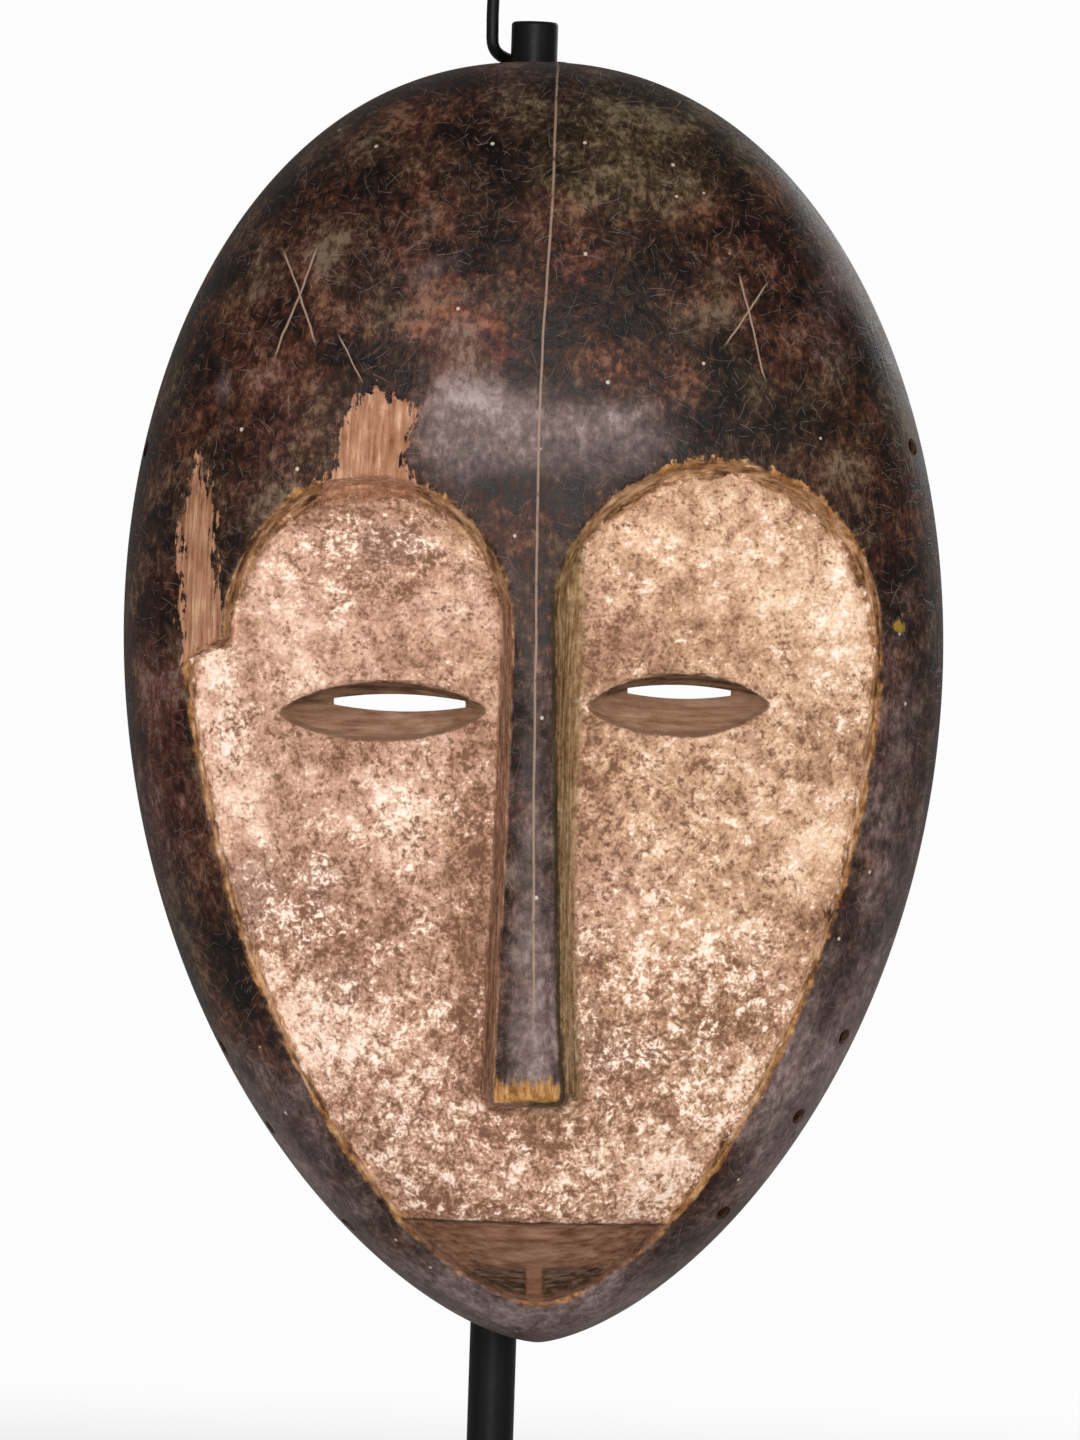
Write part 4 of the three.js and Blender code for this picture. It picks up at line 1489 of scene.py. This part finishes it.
    scratches = product(
        scratches,
        add(
            t, "MapRange",
            {
                "Value": add(t, "Attribute", out="Fac", attribute_name="behind"), "From Min": 1.5,
                "From Max": 0.8,
            },
            interpolation_type="SMOOTHSTEP",
        ),
    )
    whole = add(
        t, "Mix",
        {0: add(t, "Math", {0: scratches, 1: 0.85}, operation="MULTIPLY"), 6: whole, 7: colour("#a08674")},
        out=2, data_type="RGBA",
    )

    # The hollow behind and the rim's back: plain adzed wood, darkened by handling.
    back_tone = add(
        t, "ValToRGB", {0: total(0.5, swing(fibre, 1.2), swing(broad, 1.4), swing(fine, 0.8))},
        stops=[(0.1, "#3a2417"), (0.4, "#6b4a33"), (0.6, "#856147"), (0.9, "#ac8765")],
    )
    at_back = add(
        t, "MapRange",
        {
            "Value": add(t, "Attribute", out="Fac", attribute_name="behind"), "From Min": 1.6,
            "From Max": 3.0,
        },
        interpolation_type="SMOOTHSTEP",
    )
    whole = add(t, "Mix", {0: at_back, 6: whole, 7: back_tone}, out=2, data_type="RGBA")

    # Sheen: the oiled skin is satin, all else is matt.
    matt = add(
        t, "Math",
        {
            0: add(
                t, "Math", {0: chipped, 1: add(t, "Math", {0: 1.0, 1: off_face}, operation="SUBTRACT")},
                operation="MAXIMUM",
            ),
            1: at_back,
        },
        operation="MAXIMUM",
    )
    skin_rough = add(t, "MapRange", {"Value": mottle, "From Min": 0.1, "From Max": 0.9,
                                     "To Min": 0.4, "To Max": 0.56})
    roughness = add(t, "Mix", {0: matt, 2: skin_rough, 3: 0.9})

    # Relief: flakes of clay, fibres of raw wood, scratches.
    relief = product(cover, clayed, add(t, "Math", {0: 1.0, 1: off_face}, operation="SUBTRACT"), 0.9)
    relief = total(
        relief, product(fibre, add(t, "Math", {0: chipped, 1: at_back}, operation="MAXIMUM")),
        product(mottle, off_face, 0.3),
    )
    relief = add(
        t, "Math",
        {
            0: relief,
            1: product(
                add(t, "Math", {0: scratches, 1: product(hairs, off_face)}, operation="MAXIMUM"), 0.25
            ),
        },
        operation="SUBTRACT",
    )
    bump = add(t, "Bump", {"Height": relief, "Strength": 0.6, "Distance": 0.0008})
    finish_with(t, add(t, "BsdfPrincipled", {"Base Color": whole, "Roughness": roughness, "Normal": bump,
                                             "Specular IOR Level": 0.18}))
    return material


def satin_black_steel():
    """Mild steel bar painted satin black: an even coat with a faint orange peel and rubbed highlights."""
    material, t, where = new_material("satin_black_paint")
    wear = add(t, "TexNoise", {"Vector": where, "Scale": per(6), "Detail": 6.0, "Roughness": 0.7})
    peel = add(t, "TexNoise", {"Vector": where, "Scale": per(0.9), "Detail": 2.0})
    shade = add(t, "ValToRGB", {0: wear}, stops=[(0.35, "#050505"), (0.6, "#0b0a0b"), (0.72, "#1c1918")])
    rough = add(t, "MapRange", {"Value": wear, "From Min": 0.3, "From Max": 0.7, "To Min": 0.4, "To Max": 0.56})
    bump = add(t, "Bump", {"Height": peel, "Strength": 0.25, "Distance": 0.0002})
    finish_with(t, add(t, "BsdfPrincipled", {"Base Color": shade, "Roughness": rough, "Normal": bump,
                                             "Specular IOR Level": 0.2}))
    return material


def annealed_iron_wire():
    """Soft black iron tie wire: grey-brown scale that is rubbed bright in spots."""
    material, t, where = new_material("annealed_iron_wire")
    scale = add(t, "TexNoise", {"Vector": where, "Scale": per(2.5), "Detail": 5.0, "Roughness": 0.7})
    shade = add(t, "ValToRGB", {0: scale}, stops=[(0.35, "#2a221e"), (0.55, "#4a3f38"), (0.7, "#6d635b")])
    bump = add(t, "Bump", {"Height": scale, "Strength": 0.3, "Distance": 0.0002})
    finish_with(t, add(t, "BsdfPrincipled", {"Base Color": shade, "Metallic": 0.8, "Roughness": 0.5,
                                             "Normal": bump}))
    return material


def zinc_plated_steel():
    """Bright zinc plate: pale grey metal with a slight clouding."""
    material, t, where = new_material("zinc_plated_steel")
    cloudy = add(t, "TexNoise", {"Vector": where, "Scale": per(3), "Detail": 4.0})
    shade = add(t, "ValToRGB", {0: cloudy}, stops=[(0.35, "#8b8d8e"), (0.65, "#b9bbbc")])
    rough = add(t, "MapRange", {"Value": cloudy, "To Min": 0.25, "To Max": 0.45})
    finish_with(t, add(t, "BsdfPrincipled", {"Base Color": shade, "Metallic": 1.0, "Roughness": rough}))
    return material


def black_rubber():
    """Moulded rubber: matt black with a bloom of grey dust."""
    material, t, where = new_material("moulded_rubber")
    bloom = add(t, "TexNoise", {"Vector": where, "Scale": per(4), "Detail": 5.0})
    shade = add(t, "ValToRGB", {0: bloom}, stops=[(0.4, "#151516"), (0.7, "#2b2a2a")])
    grit = add(t, "TexNoise", {"Vector": where, "Scale": per(0.5)})
    bump = add(t, "Bump", {"Height": grit, "Strength": 0.3, "Distance": 0.0002})
    finish_with(t, add(t, "BsdfPrincipled", {"Base Color": shade, "Roughness": 0.82, "Normal": bump}))
    return material


def pressed_felt():
    """Pressed wool felt: a soft mat of short fibres, dark green."""
    material, t, where = new_material("pressed_felt")
    mat = add(t, "TexNoise", {"Vector": where, "Scale": per(0.8), "Detail": 6.0, "Roughness": 0.75,
                              "Distortion": 1.5})
    shade = add(t, "ValToRGB", {0: mat}, stops=[(0.35, "#141a16"), (0.65, "#2c362f")])
    bump = add(t, "Bump", {"Height": mat, "Strength": 0.8, "Distance": 0.0005})
    finish_with(t, add(t, "BsdfPrincipled", {"Base Color": shade, "Roughness": 0.95, "Sheen Weight": 0.4,
                                             "Normal": bump}))
    return material


def studio_paper():
    """Pale paper under the stand. It catches shadows near the stand, and burns out to white further off."""
    material, t, where = new_material("studio_paper")
    tone = add(t, "TexNoise", {"Vector": where, "Scale": 2.0})
    shade = add(t, "ValToRGB", {0: tone}, stops=[(0.3, "#f3f3f2"), (0.7, "#f7f7f6")])
    plain = add(t, "BsdfPrincipled", {"Base Color": shade, "Roughness": 0.9})
    bright = add(t, "Emission", {"Color": colour(PAPER_WHITE), "Strength": 1.0})
    away = add(t, "VectorMath", {0: where}, out="Value", operation="LENGTH")
    far = add(t, "MapRange", {"Value": away, "From Min": 0.2, "From Max": 1.2, "To Min": 0.4},
              interpolation_type="SMOOTHSTEP")
    burnt = add(t, "Math", {0: far, 1: add(t, "LightPath", out="Is Camera Ray")}, operation="MULTIPLY")
    finish_with(t, add(t, "MixShader", {0: burnt, 1: plain, 2: bright}))
    return material


# ---- The camera, the lights and the paper ----

VIEW_FROM = 2600  # mm from the back rim
VIEW_HEIGHT = 338  # mm that the camera sees from top to bottom, at the back rim
VIEW_MIDDLE = Vector((1.4, 0, 145.8))  # the mask's point that the camera is level with
CAMERA_ROLL = math.radians(1.83)
FILM_HEIGHT = 36  # mm

PAPER_WHITE = "#fdfdfd"
PAPER_RADIUS = 12  # metres
AMBIENT = 0.26
LAMPS_AIM = (0, 0, 0.22)
# Each lamp: where it stands and its size, in metres, then its power in watts.
LAMPS = (
    ("key", (-0.02, -1.25, 0.52), 0.34, 8.2),
    ("fill_right", (1.1, -1.1, 0.3), 0.6, 2.6),
    ("fill_left", (-1.1, -1.1, 0.08), 0.6, 2.4),
    ("low_front", (0, -1.2, 0.12), 0.2, 3.2),
    ("back", (0.8, 1.5, 0.8), 0.6, 3.6),
)


def set_camera():
    data = bpy.data.cameras.new("camera")
    data.sensor_fit = "VERTICAL"
    data.sensor_height = FILM_HEIGHT
    data.lens = data.sensor_height * VIEW_FROM / VIEW_HEIGHT
    camera = bpy.data.objects.new("camera", data)
    bpy.context.scene.collection.objects.link(camera)
    camera.location = HANG @ VIEW_MIDDLE + Vector((0, -VIEW_FROM * MM, 0))
    camera.rotation_euler = (math.pi / 2, -CAMERA_ROLL, 0)
    bpy.context.scene.camera = camera


def add_light(name, spot, aim, size, power):
    data = bpy.data.lights.new(name, "AREA")
    data.shape = "DISK"
    data.size = size
    data.energy = power
    light = bpy.data.objects.new(name, data)
    bpy.context.scene.collection.objects.link(light)
    light.visible_camera = False
    light.location = spot
    light.rotation_euler = (Vector(aim) - Vector(spot)).to_track_quat("-Z", "Y").to_euler()


def set_stage():
    """Soft white surroundings, seen as white paper; lamps; and a round sheet of paper under the stand."""
    world = bpy.data.worlds.new("studio")
    bpy.context.scene.world = world
    world.use_nodes = True
    t = world.node_tree
    t.nodes.clear()
    soft = add(t, "Background", {"Color": colour("#ffffff"), "Strength": AMBIENT})
    seen = add(t, "Background", {"Color": colour(PAPER_WHITE), "Strength": 1.0})
    both = add(t, "MixShader", {0: add(t, "LightPath", out="Is Camera Ray"), 1: soft, 2: seen})
    t.links.new(both, t.nodes.new("ShaderNodeOutputWorld").inputs["Surface"])
    for name, spot, size, power in LAMPS:
        add_light(name, spot, LAMPS_AIM, size, power)
    deselect()
    bpy.ops.mesh.primitive_circle_add(vertices=96, radius=PAPER_RADIUS, fill_type="NGON")
    paper = bpy.context.object
    paper.name = "studio_paper"
    paper.data.materials.append(studio_paper())


# ---- The pieces ----


def make_mask(wood):
    body = carve_mask()
    mark_zones(body)
    smooth_shade(body, 40)
    place(body)
    named(body, "carved_mask", "mask", wood)
    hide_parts("mask_body")


def round_copy(node, name, body, material):
    """A wire's CAD solid, copied, merged and rounded, so that it no longer shows flats."""
    deselect()
    source = frame["nodes"][node]
    piece = bpy.data.objects.new(name, source.data.copy())
    bpy.context.scene.collection.objects.link(piece)
    pick(piece)
    bpy.ops.object.mode_set(mode="EDIT")
    bpy.ops.mesh.select_all(action="SELECT")
    bpy.ops.mesh.remove_doubles(threshold=0.00002)
    bpy.ops.mesh.tris_convert_to_quads()
    bpy.ops.object.mode_set(mode="OBJECT")
    rounder = piece.modifiers.new("round", "SUBSURF")
    rounder.levels = rounder.render_levels = 1
    apply_all(piece)
    smooth_shade(piece, 60)
    named(piece, name, body, material)
    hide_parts(node)


# The hole for the base screw, its head's seat, and the room over its end, in millimetres.
SCREW_HOLE_RADIUS = 3.3
SCREW_SEAT_RADIUS = 7
SCREW_SPARE = 2
POST_EDGE = 0.8
BASE_CORNER = 6
BASE_EDGE = 1


def bore_out(piece, bores):
    """Cuts round holes on the post's axis: radius in millimetres, then from one height to another."""
    low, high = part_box("base_screw")
    axis = (low + high) / 2
    for radius, start, end in bores:
        cut_away(piece, rod_cutter((axis.x, axis.y, start), (axis.x, axis.y, end), radius * MM), "EXACT")


def make_post(paint):
    low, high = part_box("post")
    radius = (high.x - low.x) / 2
    middle = (low + high) / 2
    deselect()
    bpy.ops.mesh.primitive_cylinder_add(vertices=96, radius=radius, depth=high.z - low.z, location=middle)
    piece = bpy.context.object
    bpy.ops.object.transform_apply(location=True, rotation=False, scale=False)
    break_edges(piece, POST_EDGE, 4)
    screw_low, screw_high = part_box("base_screw")
    bore_out(piece, [(SCREW_HOLE_RADIUS, screw_low.z, screw_high.z + SCREW_SPARE * MM)])
    smooth_shade(piece, 35)
    named(piece, "steel_post", "stand", paint)
    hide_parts("post")


def make_base(paint):
    low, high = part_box("base_plate")
    deselect()
    bpy.ops.mesh.primitive_cube_add(size=1, location=(low + high) / 2)
    piece = bpy.context.object
    bpy.ops.transform.resize(value=tuple(high - low))
    bpy.ops.object.transform_apply(location=True, rotation=False, scale=True)
    bpy.ops.object.mode_set(mode="EDIT")
    bpy.ops.mesh.select_all(action="DESELECT")
    bpy.ops.object.mode_set(mode="OBJECT")
    for edge in piece.data.edges:
        a, b = (piece.data.vertices[i].co for i in edge.vertices)
        edge.select = abs(a.z - b.z) > MM
    bpy.ops.object.mode_set(mode="EDIT")
    bpy.ops.mesh.select_mode(type="EDGE")
    bpy.ops.mesh.bevel(offset=BASE_CORNER * MM, segments=10, affect="EDGES")
    bpy.ops.object.mode_set(mode="OBJECT")
    break_edges(piece, BASE_EDGE, 3)
    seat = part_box("base_washer")[1].z
    bore_out(piece, [(SCREW_HOLE_RADIUS, low.z - MM, high.z + MM), (SCREW_SEAT_RADIUS, low.z - MM, seat)])
    smooth_shade(piece, 35)
    named(piece, "steel_base", "stand", paint)
    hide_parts("base_plate")


set_camera()
set_stage()
steel = satin_black_steel()
zinc = zinc_plated_steel()
make_mask(carved_hardwood())
make_post(steel)
make_base(steel)
round_copy("hook_wire", "wire_hook", "hook", steel)
round_copy("hanging_wire", "wire_hanger", "wire", annealed_iron_wire())
round_copy("screw_eye_left", "eye_screw_left", "mask", zinc)
round_copy("screw_eye_right", "eye_screw_right", "mask", zinc)
for node, material in (("bumper_sleeve", black_rubber()), ("base_felt", pressed_felt()),
                       ("base_screw", zinc), ("base_washer", zinc)):
    frame["nodes"][node].data.materials.clear()
    frame["nodes"][node].data.materials.append(material)

bpy.context.scene.view_settings.view_transform = "Standard"
